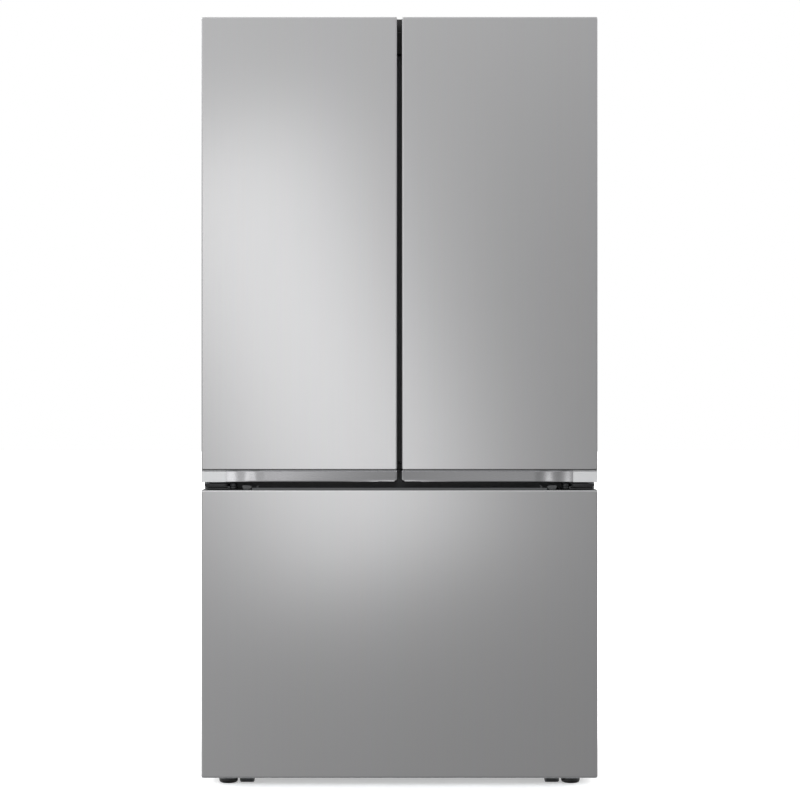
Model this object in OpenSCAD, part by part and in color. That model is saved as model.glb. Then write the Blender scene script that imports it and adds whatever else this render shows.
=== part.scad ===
// French door refrigerator, counter depth.
// +Z is up, the doors face -Y, and the origin is on the floor in the middle of the footprint.

/* [Overall] */
// Width of the case and of the drawer front
width = 908; // [880:1:930]
// Depth from the door fronts to the rear panel
depth = 730; // [720:1:760]
// Height of the case's top sheet
case_top = 1752; // [1750:1:1756]
// Height of the doors' upper edge
door_top = 1772; // [1770:1:1774]
// Height of the cover over the upper hinges
cover_top = 1782; // [1778:1:1786]

/* [Doors] */
// Thickness of a door without its gasket
door_thickness = 74; // [70:1:78]
// Thickness of the closed gasket
gasket_thickness = 12; // [10:1:14]
// Gap between the two upper doors
centre_gap = 10.5; // [8:0.5:12]
// Lower edge of the steel panel on an upper door
panel_bottom = 733; // [731:0.5:736]
// Upper edge of the bright handle trim
trim_top = 730; // [727:0.5:731]
// Lower edge of the doors and their handle trim
door_bottom = 706; // [704:0.5:710]
// Distance of a door's pin from its outer side
pin_from_side = 14; // [13:0.5:15]
// Distance of a door's pin from its front face
pin_from_front = 30; // [29:0.5:32]
// Diameter of the door pins
pin_d = 12; // [10:0.5:12]

/* [Drawer] */
// Lower edge of the freezer drawer's front
drawer_bottom = 28; // [26:1:30]
// Upper edge of the freezer drawer's steel panel
drawer_top = 688; // [686:0.5:689]
// Height of the grip lip above that edge
lip_height = 4.7; // [3:0.1:5]
// Length of the grip lip
lip_length = 676; // [640:1:700]

/* [Walls] */
// Thickness of sheet steel
sheet = 1; // [0.8:0.1:1.2]
// Thickness of the moulded liners
liner = 2; // [1.5:0.5:2.5]
// Thickness of the bins, baskets and drawers
tub_wall = 3; // [2.5:0.5:3.5]
// Insulation beside the fresh food compartment
side_wall = 42; // [38:1:46]
// Insulation behind the compartments
rear_wall = 64; // [60:1:68]

/* [Feet] */
// Diameter of the rollers
roller_d = 44; // [40:1:46]
// Width of a front roller
roller_w = 33; // [30:1:34]
// Diameter of a levelling leg's foot
leg_d = 44; // [38:1:44]

/* [Hidden] */
$fn = 64;
over = 1;                                   // how far a cut runs past a face
steel = "silver";
dark = "dimgray";
white = "whitesmoke";

// planes from front to back
side = width / 2;
front = -depth / 2;
back = depth / 2;
door_back = front + door_thickness;
flange = door_back + gasket_thickness;
cavity_back = back - sheet - rear_wall;

// planes from the floor up
shell_bottom = 36;
foam_bottom = 62;
freezer_bottom = 106;
freezer_top = 664;
fridge_bottom = 742;
fridge_top = case_top - 48;

// compartments, measured to the outside of their liners
fridge_x = side - sheet - side_wall;
freezer_x = fridge_x - 8;
step_z = 324;                               // top of the hump over the machine compartment
step_y = 97;                                // front of that hump
flange_w = 16;                              // steel flange round the front of the case
machine_x = side - 24;
machine_y = 130;
machine_top = 292;
rear_joint = 298;                           // where the rear panel meets the machine cover

// doors
pin_x = side - pin_from_side;
pin_y = front + pin_from_front;
pin_length = 32;
pin_play = 0.3;
arm_w = 24;
arm_t = 6;
middle_arm_z = 696;
edge_r = 4;
cap_z0 = door_top - 52;
pocket_z = case_top - 6;
core_z0 = 745;
lip_t = 6;                                  // front lip of a door's top, ahead of the hinge arm
plate_t = 3;                                // flat part of a door's inner liner
dyke_w = 25;
dyke_depth = 51;
dyke_seam = 0.1;                            // keeps the raised ring and the flat plate two solids
dyke_in = 55;                               // distance of the inner dyke from the middle
dyke_out = side - 56;
dyke_z0 = 760;
dyke_z1 = 1690;
gasket_w = 20;
gasket_out = side - 18;
gasket_in = 12;
bin_depth = 126;
bin_z = [790, 1090, 1380];
bin_h = [130, 100, 100];
grip_x0 = 25;                               // finger pocket under a door
grip_x1 = 380;
grip_y = pin_y + 10;
grip_z = 726;

// folding mullion
mullion_pin = [-40, flange + 10];
mullion_x0 = -30;
mullion_x1 = 36;
mullion_t = 20;
mullion_z0 = 748;
mullion_z1 = 1696;
knuckle_z = [800, 1222, 1644];
knuckle_r = 6;
knuckle_h = 30;
tab_h = 8;

// fresh food compartment
shelf_front = -135;
shelf_back = 262;
shelf_z = [1290, 1490];
shelf_half = fridge_x - liner - 4;
cover_z = [872, 1092];
cover_t = 18;
duct_x = 120;
duct_y = cavity_back - liner - 30;
track_x = [142, 392];

// freezer drawer
drawer_travel = 420;
rail_z0 = 340;
rail_z1 = 385;
rail_x = freezer_x - liner;
basket_x = 372;
basket_front = -260;

// machine compartment
fan_r = 70;
fan_x = 90;
fan_y = 245;
fan_z = 165;
compressor_at = [270, 245];
compressor_r = 78;

// feet
leg_x = 400;
front_axle_y = flange + 17;
front_roller_x = 356;
rear_axle_y = 315;
rear_roller_x = 385;
rear_roller_w = 24;
axle_r = 4;
stud_r = 6;

// A block between two corners
module block(x0, x1, y0, y1, z0, z1) {
    translate([x0, y0, z0]) cube([x1 - x0, y1 - y0, z1 - z0]);
}

// A copy on each side of the middle plane
module both() {
    children();
    mirror([1, 0, 0]) children();
}

// A rod along X, Y or Z
module rod_x(x0, x1, y, z, r) {
    translate([x0, y, z]) rotate([0, 90, 0]) cylinder(h = x1 - x0, r = r);
}
module rod_y(x, y0, y1, z, r) {
    translate([x, y0, z]) rotate([-90, 0, 0]) cylinder(h = y1 - y0, r = r);
}
module rod_z(x, y, z0, z1, r) {
    translate([x, y, z0]) cylinder(h = z1 - z0, r = r);
}

// A plan outline whose two front corners are round
module round_front(x0, x1, y0, y1, r) {
    translate([x0 + r, y0]) square([x1 - x0 - 2 * r, y1 - y0]);
    translate([x0, y0 + r]) square([x1 - x0, y1 - y0 - r]);
    for (x = [x0 + r, x1 - r]) translate([x, y0 + r]) circle(r);
}

module front_prism(x0, x1, y0, y1, z0, z1, r) {
    translate([0, 0, z0]) linear_extrude(z1 - z0) round_front(x0, x1, y0, y1, r);
}

// A tub that is open at the top
module tub(x0, x1, y0, y1, z0, z1, wall) {
    difference() {
        block(x0, x1, y0, y1, z0, z1);
        block(x0 + wall, x1 - wall, y0 + wall, y1 - wall, z0 + wall, z1 + over);
    }
}

// A flat ring in the XZ plane
module ring_xz(x0, x1, z0, z1, y0, y1, w) {
    difference() {
        block(x0, x1, y0, y1, z0, z1);
        block(x0 + w, x1 - w, y0 - over, y1 + over, z0 + w, z1 - w);
    }
}

// ---- case ----

module cabinet_shell() {
    color(dark) difference() {
        block(-side, side, flange, back - sheet, shell_bottom, case_top);
        block(-side + sheet, side - sheet, flange + sheet, back, shell_bottom - over, case_top - sheet);
        block(-side + flange_w, side - flange_w, flange - over, flange + 2 * sheet,
            shell_bottom - over, case_top - flange_w);
    }
}

module rear_panel() {
    color(dark) block(-side, side, back - sheet, back, rear_joint, case_top);
}

// Where the control board sits in the rear insulation
module board_recess(gap) {
    block(120 - gap, 340 + gap, back - 30 - gap, back - sheet, 1480 - gap, 1660 + gap);
}

// Outside of the freezer liner, or its inside when in is the wall
module freezer_space(in) {
    block(-freezer_x + in, freezer_x - in, flange - over * sign(in), step_y - in,
        freezer_bottom + in, freezer_top - in);
    block(-freezer_x + in, freezer_x - in, flange - over * sign(in), cavity_back - in,
        step_z + in, freezer_top - in);
}

module cabinet_foam() {
    color("khaki") difference() {
        block(-side + sheet, side - sheet, flange + sheet, back - sheet, foam_bottom, case_top - sheet);
        block(-fridge_x, fridge_x, flange - over, cavity_back, fridge_bottom, fridge_top);
        freezer_space(0);
        block(-machine_x, machine_x, machine_y, back, foam_bottom - over, machine_top);
        board_recess(0);
        rail_box();
    }
}

module fridge_liner() {
    color(white) {
        difference() {
            block(-fridge_x, fridge_x, flange, cavity_back, fridge_bottom, fridge_top);
            block(-fridge_x + liner, fridge_x - liner, flange - over, cavity_back - liner,
                fridge_bottom + liner, fridge_top - liner);
        }
        // the rim that covers the insulation between the liner and the steel flange
        difference() {
            block(-side + flange_w, side - flange_w, flange, flange + sheet,
                fridge_bottom, case_top - flange_w);
            block(-fridge_x, fridge_x, flange - over, flange + 2 * sheet, fridge_bottom - over, fridge_top);
        }
    }
}

module freezer_liner() {
    color(white) {
        difference() {
            freezer_space(0);
            freezer_space(liner);
        }
        difference() {
            block(-side + flange_w, side - flange_w, flange, flange + sheet, foam_bottom, freezer_top);
            block(-freezer_x, freezer_x, flange - over, flange + 2 * sheet, freezer_bottom, freezer_top + over);
        }
    }
}

// The channel between the two compartments, open towards the rear
module rail_box() {
    difference() {
        block(-side + flange_w, side - flange_w, flange, flange + 20, freezer_top, fridge_bottom);
        block(-side + flange_w - over, side - flange_w + over, flange + 1.5, flange + 20 + over,
            freezer_top + 1.5, fridge_bottom - 1.5);
    }
}

module centre_rail() {
    color(dark) rail_box();
}

module roller_cheeks(x0, x1, y0, y1, axle_y) {
    cheek = 3;
    block(x0, x0 + cheek, y0, y1, 14, foam_bottom - 1);
    block(x1 - cheek, x1, y0, y1, 14, foam_bottom - 1);
    rod_x(x0, x1, axle_y, roller_d / 2, axle_r);
}

module base_frame() {
    plate = 2;
    skirt = 40;
    color(dark) {
        block(-side + sheet, side - sheet, flange + 3, back - 2, foam_bottom - plate, foam_bottom);
        block(-330, 330, flange + 3, flange + 5, skirt, foam_bottom);
        both() {
            block(side - sheet - plate, side - sheet, flange + 3, back - 2, skirt, foam_bottom);
            roller_cheeks(front_roller_x - 21, front_roller_x + 21, flange - 5, flange + 80, front_axle_y);
            roller_cheeks(rear_roller_x - 17, rear_roller_x + 17, rear_axle_y - 30, rear_axle_y + 30,
                rear_axle_y);
            difference() {
                rod_z(leg_x, front_axle_y, 44, foam_bottom - 1, 11);
                rod_z(leg_x, front_axle_y, 44 - over, foam_bottom - plate, stud_r + pin_play);
            }
        }
    }
}

module top_cover() {
    wall = 2.5;
    color(dark) difference() {
        block(-side + 2, side - 2, flange, flange + 90, case_top, cover_top);
        block(-side + 2 + wall, side - 2 - wall, flange + wall, flange + 90 - wall,
            case_top - over, cover_top - wall);
        both() block(pin_x - arm_w / 2 - 3, side, flange - over, flange + 5, case_top - over, case_top + arm_t + 2);
    }
}

// ---- hinges ----

screw_spots = [[436, flange + 24], [436, flange + 62], [390, flange + 43]];

module upper_hinge() {
    plate_x1 = 448;
    difference() {
        union() {
            block(372, plate_x1, flange + 8, flange + 76, case_top, case_top + arm_t);
            block(pin_x - arm_w / 2, plate_x1, pin_y, flange + 20, case_top, case_top + arm_t);
            block(plate_x1 - over, pin_x + arm_w / 2, pin_y, flange + 4, case_top, case_top + arm_t);
            rod_z(pin_x, pin_y, case_top, case_top + arm_t, arm_w / 2);
        }
        rod_z(pin_x, pin_y, case_top - over, case_top + arm_t + over, pin_d / 2);
        for (s = screw_spots) rod_z(s[0], s[1], case_top - over, case_top + arm_t + over, 3);
    }
}

module upper_hinges() {
    color(dark) both() upper_hinge();
}

module middle_hinge() {
    difference() {
        union() {
            block(392, 448, pin_y - 2, flange, middle_arm_z, middle_arm_z + arm_t);
            block(404, 448, pin_y - 14, pin_y, middle_arm_z, middle_arm_z + arm_t);
            rod_z(404, pin_y - 2, middle_arm_z, middle_arm_z + arm_t, 12);
            block(388, 450, flange - 4, flange, 690, 714);
        }
        rod_z(pin_x, pin_y, middle_arm_z - over, middle_arm_z + arm_t + over, pin_d / 2);
        for (x = [400, 438]) rod_y(x, flange - 5, flange + over, 708, 3);
    }
}

module middle_hinges() {
    color(dark) both() middle_hinge();
}

module hinge_pins() {
    color("lightgray") both() {
        rod_z(pin_x, pin_y, case_top + arm_t - pin_length, case_top + arm_t, pin_d / 2);
        rod_z(pin_x, pin_y, middle_arm_z, middle_arm_z + pin_length, pin_d / 2);
    }
}

module screws() {
    color("gray") both() {
        for (s = screw_spots) {
            rod_z(s[0], s[1], case_top, case_top + arm_t, 3);
            rod_z(s[0], s[1], case_top + arm_t, case_top + arm_t + 5, 6);
        }
        for (x = [400, 438]) {
            rod_y(x, flange - 4, flange, 708, 3);
            rod_y(x, flange - 7, flange - 4, 708, 5);
        }
    }
}

// ---- fresh food compartment ----

module shelf_tracks() {
    color(steel) both() for (x = track_x)
        block(x - 8, x + 8, cavity_back - liner - 10, cavity_back - liner, 1140, 1680);
}

module glass_shelf(z) {
    rim = 14;
    difference() {
        block(4, shelf_half, shelf_front, shelf_back, z, z + 18);
        block(4 + rim, shelf_half - rim, shelf_front + rim, shelf_back - rim, z - over, z + 13);
        block(4 + rim, shelf_half - rim, shelf_front + rim, shelf_back - rim, z + 17, z + 18 + over);
    }
    for (x = track_x) block(x - 6, x + 6, shelf_back, cavity_back - liner - 10, z - 4, z + 18);
}

module glass_shelves() {
    color("lightblue") both() for (z = shelf_z) glass_shelf(z);
}

module drawer_covers() {
    color("lightblue") for (z = cover_z)
        difference() {
            block(-shelf_half, shelf_half, shelf_front, shelf_back, z, z + cover_t);
            block(-shelf_half + 14, shelf_half - 14, shelf_front + 14, shelf_back - 14, z - over, z + cover_t - 5);
        }
}

module crispers() {
    color("lightcyan") both() tub(6, 400, shelf_front, 240, 898, 1082, tub_wall);
}

module humidity_slider() {
    color("white") {
        block(-226, -196, shelf_front - 6.3, shelf_front - pin_play, cover_z[1] + 3, cover_z[1] + 15);
        block(-213, -209, shelf_front - 10, shelf_front - 6, cover_z[1] + 3, cover_z[1] + 15);
    }
}

module humidity_slider_left() {
    humidity_slider();
}

module humidity_slider_right() {
    translate([402, 0, 0]) humidity_slider();
}

module pantry_drawer() {
    color("lightcyan") tub(-395, 395, shelf_front, 240, 752, 864, tub_wall);
}

module air_duct() {
    color("white") difference() {
        block(-duct_x, duct_x, duct_y, cavity_back - liner, 764, 1690);
        block(-duct_x + 3, duct_x - 3, duct_y + 3, cavity_back - liner + over, 767, 1687);
        for (z = [930 : 190 : 1640])
            both() block(30, 100, duct_y - over, duct_y + 4, z, z + 10);
    }
}

// ---- freezer compartment ----

module slide_outer() {
    color(steel) both() {
        block(rail_x - 1.5, rail_x, -270, 190, rail_z0, rail_z1);
        for (z = [rail_z0, rail_z1 - 1.5])
            block(rail_x - 10, rail_x, -270, 190, z, z + 1.5);
    }
}

module slide_middle() {
    color(steel) both() difference() {
        block(rail_x - 9, rail_x - 2, -268, 170, rail_z0 + 2.5, rail_z1 - 2.5);
        block(rail_x - 9 - over, rail_x - 7, -268 - over, 170 + over, rail_z0 + 7, rail_z1 - 7);
    }
}

module slide_inner() {
    post = 4;
    color(steel) both() {
        block(rail_x - 16, rail_x - 9.5, door_back, 165, rail_z0 + 10, rail_z1 - 5);
        block(381, 390, door_back, 150, 508, 512);
        for (y = [door_back, 126]) block(384, 384 + post, y, y + 20, rail_z1 - 5, 508);
    }
}

module lower_basket() {
    color(white) {
        tub(-basket_x, basket_x, basket_front, 85, 120, rail_z1 - 2, tub_wall);
        both() block(basket_x - over, basket_x + 18, basket_front, 85, rail_z1 - 5, rail_z1 - 2);
    }
}

module upper_basket() {
    color(white) {
        tub(-basket_x, basket_x, basket_front + 5, 95, 402, 516, tub_wall);
        both() block(basket_x - over, basket_x + 18, basket_front + 5, 95, 512.5, 516);
    }
}

module evaporator_cover() {
    color(white) difference() {
        block(-rail_x + 1, rail_x - 1, 212, 216, step_z + liner, freezer_top - liner);
        for (x = [-280 : 80 : 280]) block(x - 26, x + 26, 211, 217, 350, 358);
        translate([0, 211, 580]) rotate([-90, 0, 0]) cylinder(h = 6, r = 58);
    }
}

module evaporator() {
    color("silver") {
        for (x = [-260 : 20 : 260]) block(x - 0.5, x + 0.5, 232, 288, 345, 505);
        for (z = [365 : 30 : 485]) rod_x(-285, 285, 260, z, 4);
    }
}

// A rotor on the axis Z, with its flat blades set at an angle
module rotor(r, h, hub_r, blades) {
    pitch = 35;
    chord = 0.9 * h / sin(pitch);
    cylinder(h = h, r = hub_r);
    for (i = [0 : blades - 1]) rotate(i * 360 / blades)
        translate([hub_r - 4, 0, h / 2]) rotate([pitch, 0, 0])
            translate([0, -chord / 2, -1]) cube([r - hub_r, chord, 2]);
}

module evaporator_fan() {
    color("gray") translate([0, 222, 580]) rotate([-90, 0, 0]) rotor(52, 22, 18, 7);
}

// ---- machine compartment ----

module condenser_fan() {
    color("gray") translate([fan_x, fan_y, fan_z]) rotate([0, 90, 0]) rotor(fan_r, 26, 22, 5);
}

module condenser() {
    color("dimgray") {
        for (x = [-150, 20]) block(x - 1.5, x + 1.5, 165, 325, 104, 252);
        for (z = [120 : 24 : 240])
            for (y = [180 : 32 : 320]) rod_x(-162, 32, y, z, 3);
    }
}

module compressor() {
    r = compressor_r;
    seam = 145;
    color("black") translate([compressor_at[0], compressor_at[1], 0]) {
        translate([0, 0, 110]) cylinder(h = 85, r = r);
        translate([0, 0, 110]) intersection() {
            sphere(r);
            translate([0, 0, -38]) cylinder(h = 38, r = r);
        }
        translate([0, 0, 195]) intersection() {
            sphere(r);
            cylinder(h = 42, r = r);
        }
        translate([0, 0, seam]) cylinder(h = 5, r = r + 3);
        block(-105, 105, -60, 60, 70, 74);
        for (x = [-90, 90]) for (y = [-45, 45]) rod_z(x, y, foam_bottom, 70, 12);
    }
}

module drain_pan() {
    color("black") tub(-400, -190, 150, 345, foam_bottom, 100, 2);
}

module machine_cover() {
    color(dark) difference() {
        block(-side + 2, side - 2, back - sheet, back, 44, rear_joint);
        for (x = [-360 : 40 : 120]) for (z = [90, 185])
            block(x - 5, x + 5, back - 2, back + over, z, z + 70);
        rod_y(360, back - 2, back + over, 110, 10);
    }
}

module bend(p) {
    translate(p) sphere(3);
}

module refrigerant_lines() {
    color("peru") {
        // discharge line from the compressor to the condenser
        rod_z(200, 180, 120, 262, 3);
        bend([200, 180, 262]);
        rod_x(28, 200, 180, 262, 3);
        bend([28, 180, 262]);
        rod_z(28, 180, 243, 262, 3);
        // filter drier and the line up to it
        rod_z(-200, 300, 130, 240, 9);
        rod_z(-200, 300, 112, 270, 3);
        bend([-200, 300, 270]);
        rod_x(-200, 200, 300, 270, 3);
        bend([200, 300, 270]);
        rod_z(200, 300, 200, 270, 3);
    }
}

module control_board() {
    color("green") {
        block(126, 334, back - 24, back - 22, 1486, 1654);
        block(140, 190, back - 22, back - 4, 1500, 1540);
        block(220, 300, back - 22, back - 8, 1590, 1640);
        for (z = [1500, 1520, 1540]) block(250, 320, back - 22, back - 12, z, z + 12);
    }
}

module cord_gland() {
    color("black") difference() {
        union() {
            rod_y(360, back - 12, back, 110, 10);
            rod_y(360, back - 4, back - sheet, 110, 15);
        }
        rod_y(360, back - 12 - over, back + over, 110, 4.5);
    }
}

// ---- feet ----

module roller(x0, x1, y) {
    difference() {
        rod_x(x0, x1, y, roller_d / 2, roller_d / 2);
        rod_x(x0 - over, x1 + over, y, roller_d / 2, axle_r + pin_play);
    }
}

module front_rollers() {
    color(dark) both()
        roller(front_roller_x - roller_w / 2, front_roller_x + roller_w / 2, front_axle_y);
}

module rear_rollers() {
    color(dark) both()
        roller(rear_roller_x - rear_roller_w / 2, rear_roller_x + rear_roller_w / 2, rear_axle_y);
}

module levelling_leg() {
    color("black") translate([-leg_x, front_axle_y, 0]) {
        rotate_extrude() {
            translate([0, 5]) square([leg_d / 2, 9]);
            square([leg_d / 2 - 5, 14]);
            translate([leg_d / 2 - 5, 5]) circle(5);
        }
        cylinder(h = 57, r = stud_r);
        difference() {
            translate([0, 0, 14]) cylinder(h = 10, r = 11);
            for (a = [0, 60, 120]) rotate(a) both()
                translate([9.5, -12, 13]) cube([6, 24, 12]);
        }
    }
}

module levelling_leg_left() {
    levelling_leg();
}

module levelling_leg_right() {
    translate([2 * leg_x, 0, 0]) levelling_leg();
}

// ---- upper doors, drawn as the left one ----

module door_panel() {
    color(steel) difference() {
        front_prism(-side, -centre_gap / 2, front, door_back - plate_t, panel_bottom, door_top, edge_r);
        front_prism(-side + sheet, -centre_gap / 2 - sheet, front + sheet, door_back, panel_bottom - over,
            door_top + over, edge_r - sheet);
        // above the top cap only the front stands up
        block(-side - over, over, front + lip_t, door_back, case_top - 8, door_top + over);
    }
}

module door_core() {
    color("khaki") front_prism(-side + sheet, -centre_gap / 2 - sheet, front + sheet, door_back - plate_t,
        core_z0, cap_z0, edge_r - sheet);
}

module door_liner() {
    x1 = -centre_gap / 2;
    color(white) {
        block(-side, x1, door_back - plate_t, door_back, core_z0, cap_z0);
        difference() {
            block(-dyke_out, -dyke_in, door_back + dyke_seam, door_back + dyke_depth, dyke_z0, dyke_z1);
            block(-dyke_out + dyke_w, -dyke_in - dyke_w, door_back, door_back + dyke_depth + over,
                dyke_z0 + dyke_w, dyke_z1 - dyke_w);
        }
    }
}

module door_caps() {
    x0 = -side + sheet;
    x1 = -centre_gap / 2 - sheet;
    color("black") {
        difference() {
            front_prism(x0, x1, front + sheet, door_back, cap_z0, door_top - 1, edge_r - sheet);
            // pocket at the outer corner, in which the hinge arm turns
            block(x0 - over, -pin_x + arm_w / 2 + 4, front + lip_t, door_back + over, pocket_z, door_top);
            rod_z(-pin_x, pin_y, case_top + arm_t - pin_length - 2, door_top, pin_d / 2 + pin_play);
        }
        difference() {
            front_prism(x0, x1, front + 4, door_back, door_bottom, core_z0, edge_r - sheet);
            block(-grip_x1, -grip_x0, front + 5, grip_y, door_bottom - over, grip_z);
            rod_z(-pin_x, pin_y, door_bottom - over, middle_arm_z + pin_length + 2, pin_d / 2 + pin_play);
        }
        front_prism(x0, x1, front + sheet, front + 5, panel_bottom, core_z0, edge_r - sheet);
    }
}

module door_trim() {
    x0 = -side + 1.5;
    x1 = -centre_gap / 2 - 1.5;
    color("lightgray") front_prism(x0, x1, front, front + 4, door_bottom, trim_top, 2);
}

module door_gasket() {
    color("gray") ring_xz(-gasket_out, -gasket_in, 718, case_top - flange_w, door_back, flange, gasket_w);
}

module door_bins() {
    x0 = -dyke_out + dyke_w + 1;
    x1 = -dyke_in - dyke_w - 1;
    color("lightcyan") for (i = [0 : len(bin_z) - 1])
        tub(x0, x1, door_back + pin_play, door_back + bin_depth, bin_z[i], bin_z[i] + bin_h[i], tub_wall);
}

// Tabs on the left door that carry the mullion
module mullion_tabs() {
    color(white) for (z = knuckle_z) for (dz = [-tab_h - 0.5, knuckle_h + 0.5])
        difference() {
            block(-dyke_in - over, mullion_pin[0] + knuckle_r, mullion_pin[1] - knuckle_r,
                mullion_pin[1] + knuckle_r, z + dz, z + dz + tab_h);
            rod_z(mullion_pin[0], mullion_pin[1], z + dz - over, z + dz + tab_h + over, 3 + pin_play);
        }
}

module mullion() {
    color("black") {
        block(mullion_x0, mullion_x1, flange, flange + mullion_t, mullion_z0, mullion_z1);
        for (z = knuckle_z) {
            rod_z(mullion_pin[0], mullion_pin[1], z, z + knuckle_h, knuckle_r);
            rod_z(mullion_pin[0], mullion_pin[1], z - tab_h - 2, z + knuckle_h + tab_h + 2, 3);
            block(mullion_pin[0], mullion_x0 + over, mullion_pin[1] - 4, mullion_pin[1] + 4, z, z + knuckle_h);
        }
    }
}

module left_door_panel() {
    door_panel();
}

module left_door_core() {
    door_core();
}

module left_door_liner() {
    door_liner();
    mullion_tabs();
}

module left_door_caps() {
    door_caps();
}

module left_door_trim() {
    door_trim();
}

module left_door_gasket() {
    door_gasket();
}

module left_door_bins() {
    door_bins();
}

module right_door_panel() {
    mirror([1, 0, 0]) door_panel();
}

module right_door_core() {
    mirror([1, 0, 0]) door_core();
}

module right_door_liner() {
    mirror([1, 0, 0]) door_liner();
}

module right_door_caps() {
    mirror([1, 0, 0]) door_caps();
}

module right_door_trim() {
    mirror([1, 0, 0]) door_trim();
}

module right_door_gasket() {
    mirror([1, 0, 0]) door_gasket();
}

module right_door_bins() {
    mirror([1, 0, 0]) door_bins();
}

// ---- freezer drawer front ----

drawer_cap_z = 648;

module drawer_panel() {
    color(steel) difference() {
        front_prism(-side, side, front, door_back - plate_t, drawer_bottom, drawer_top, edge_r);
        front_prism(-side + sheet, side - sheet, front + sheet, door_back, drawer_bottom - over,
            drawer_top + over, edge_r - sheet);
    }
}

module drawer_core() {
    color("khaki") front_prism(-side + sheet, side - sheet, front + sheet, door_back - plate_t,
        drawer_bottom + 3, drawer_cap_z, edge_r - sheet);
}

module drawer_liner() {
    color(white) {
        block(-side, side, door_back - plate_t, door_back, drawer_bottom, drawer_cap_z);
        front_prism(-side + sheet, side - sheet, front + sheet, door_back, drawer_bottom, drawer_bottom + 3,
            edge_r - sheet);
        ring_xz(-380, 380, 124, 640, door_back - over, door_back + 28, 22);
    }
}

module drawer_handle() {
    color(dark) {
        difference() {
            front_prism(-side + sheet, side - sheet, front + sheet, door_back, drawer_cap_z, drawer_top,
                edge_r - sheet);
            block(-lip_length / 2 + 4, lip_length / 2 - 4, front + 10, front + 52, 662, drawer_top + over);
        }
        block(-lip_length / 2, lip_length / 2, front + sheet, front + 10, drawer_top - over, drawer_top + lip_height);
    }
}

module drawer_gasket() {
    color("gray") ring_xz(-gasket_out, gasket_out, 78, drawer_top - 2, door_back, flange, gasket_w);
}

cabinet_shell();
rear_panel();
cabinet_foam();
fridge_liner();
freezer_liner();
centre_rail();
base_frame();
top_cover();
upper_hinges();
middle_hinges();
hinge_pins();
screws();
shelf_tracks();
glass_shelves();
drawer_covers();
crispers();
humidity_slider_left();
humidity_slider_right();
pantry_drawer();
air_duct();
compressor();
condenser();
condenser_fan();
evaporator();
evaporator_fan();
evaporator_cover();
drain_pan();
machine_cover();
refrigerant_lines();
control_board();
cord_gland();
front_rollers();
rear_rollers();
levelling_leg_left();
levelling_leg_right();
slide_outer();
slide_middle();
slide_inner();
left_door_panel();
left_door_core();
left_door_liner();
left_door_caps();
left_door_trim();
left_door_gasket();
left_door_bins();
mullion();
right_door_panel();
right_door_core();
right_door_liner();
right_door_caps();
right_door_trim();
right_door_gasket();
right_door_bins();
drawer_panel();
drawer_core();
drawer_liner();
drawer_handle();
drawer_gasket();
lower_basket();
upper_basket();
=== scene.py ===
import math

import bmesh
import bpy
from mathutils import Matrix, Vector


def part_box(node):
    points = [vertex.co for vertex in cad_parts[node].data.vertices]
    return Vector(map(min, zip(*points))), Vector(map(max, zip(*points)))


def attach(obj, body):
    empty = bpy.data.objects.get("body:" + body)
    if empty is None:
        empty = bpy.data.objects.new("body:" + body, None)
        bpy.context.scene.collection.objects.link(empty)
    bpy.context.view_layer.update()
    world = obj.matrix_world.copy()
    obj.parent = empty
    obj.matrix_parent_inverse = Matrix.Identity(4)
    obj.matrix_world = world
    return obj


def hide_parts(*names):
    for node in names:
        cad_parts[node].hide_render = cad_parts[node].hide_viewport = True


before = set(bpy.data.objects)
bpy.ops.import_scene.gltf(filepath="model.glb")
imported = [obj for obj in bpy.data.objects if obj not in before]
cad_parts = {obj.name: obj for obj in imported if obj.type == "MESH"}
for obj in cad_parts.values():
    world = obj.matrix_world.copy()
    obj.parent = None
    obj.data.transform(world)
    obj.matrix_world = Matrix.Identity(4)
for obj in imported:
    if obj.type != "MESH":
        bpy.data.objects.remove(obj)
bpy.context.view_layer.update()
print("frame loaded")


# small tools

def linear(hexColour):
    values = [int(hexColour[i:i + 2], 16) / 255 for i in (1, 3, 5)]
    curved = [v / 12.92 if v <= 0.04045 else ((v + 0.055) / 1.055) ** 2.4 for v in values]
    return (*curved, 1.0)


def addNode(tree, kind, settings=None, links=None):
    # settings whose name is an input's are set there, the others on the node itself
    node = tree.nodes.new(kind)
    for key, value in (settings or {}).items():
        if isinstance(key, int) or key in node.inputs:
            node.inputs[key].default_value = value
        else:
            setattr(node, key, value)
    for key, socket in (links or {}).items():
        tree.links.new(socket, node.inputs[key])
    return node


def link(obj):
    bpy.context.scene.collection.objects.link(obj)
    return obj


def meshObject(name, bm, smoothAngle=35):
    # closes the making of a piece: one skin of faces that point outwards, smooth up to the given angle
    bmesh.ops.remove_doubles(bm, verts=bm.verts, dist=0.000002)
    bmesh.ops.recalc_face_normals(bm, faces=bm.faces)
    mesh = bpy.data.meshes.new(name)
    bm.to_mesh(mesh)
    bm.free()
    mesh.shade_smooth()
    mesh.set_sharp_from_angle(angle=math.radians(smoothAngle))
    return link(bpy.data.objects.new(name, mesh))


def evenShading(obj):
    # keeps large flat faces flat beside their rounded edges
    modifier = obj.modifiers.new("even shading", "WEIGHTED_NORMAL")
    modifier.keep_sharp = True
    modifier.weight = 80
    return obj


def roundedEdges(obj, width, segments=3, angle=40):
    modifier = obj.modifiers.new("rounded edges", "BEVEL")
    modifier.width = width
    modifier.segments = segments
    modifier.limit_method = "ANGLE"
    modifier.angle_limit = math.radians(angle)
    modifier.harden_normals = True
    modifier.use_clamp_overlap = True
    return obj


def place(obj, body, material, nodes=()):
    # gives a piece its finish, its body and the nodes it replaces
    obj.data.materials.clear()
    obj.data.materials.append(material)
    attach(obj, body)
    if nodes:
        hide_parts(*nodes)
    return obj


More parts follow.
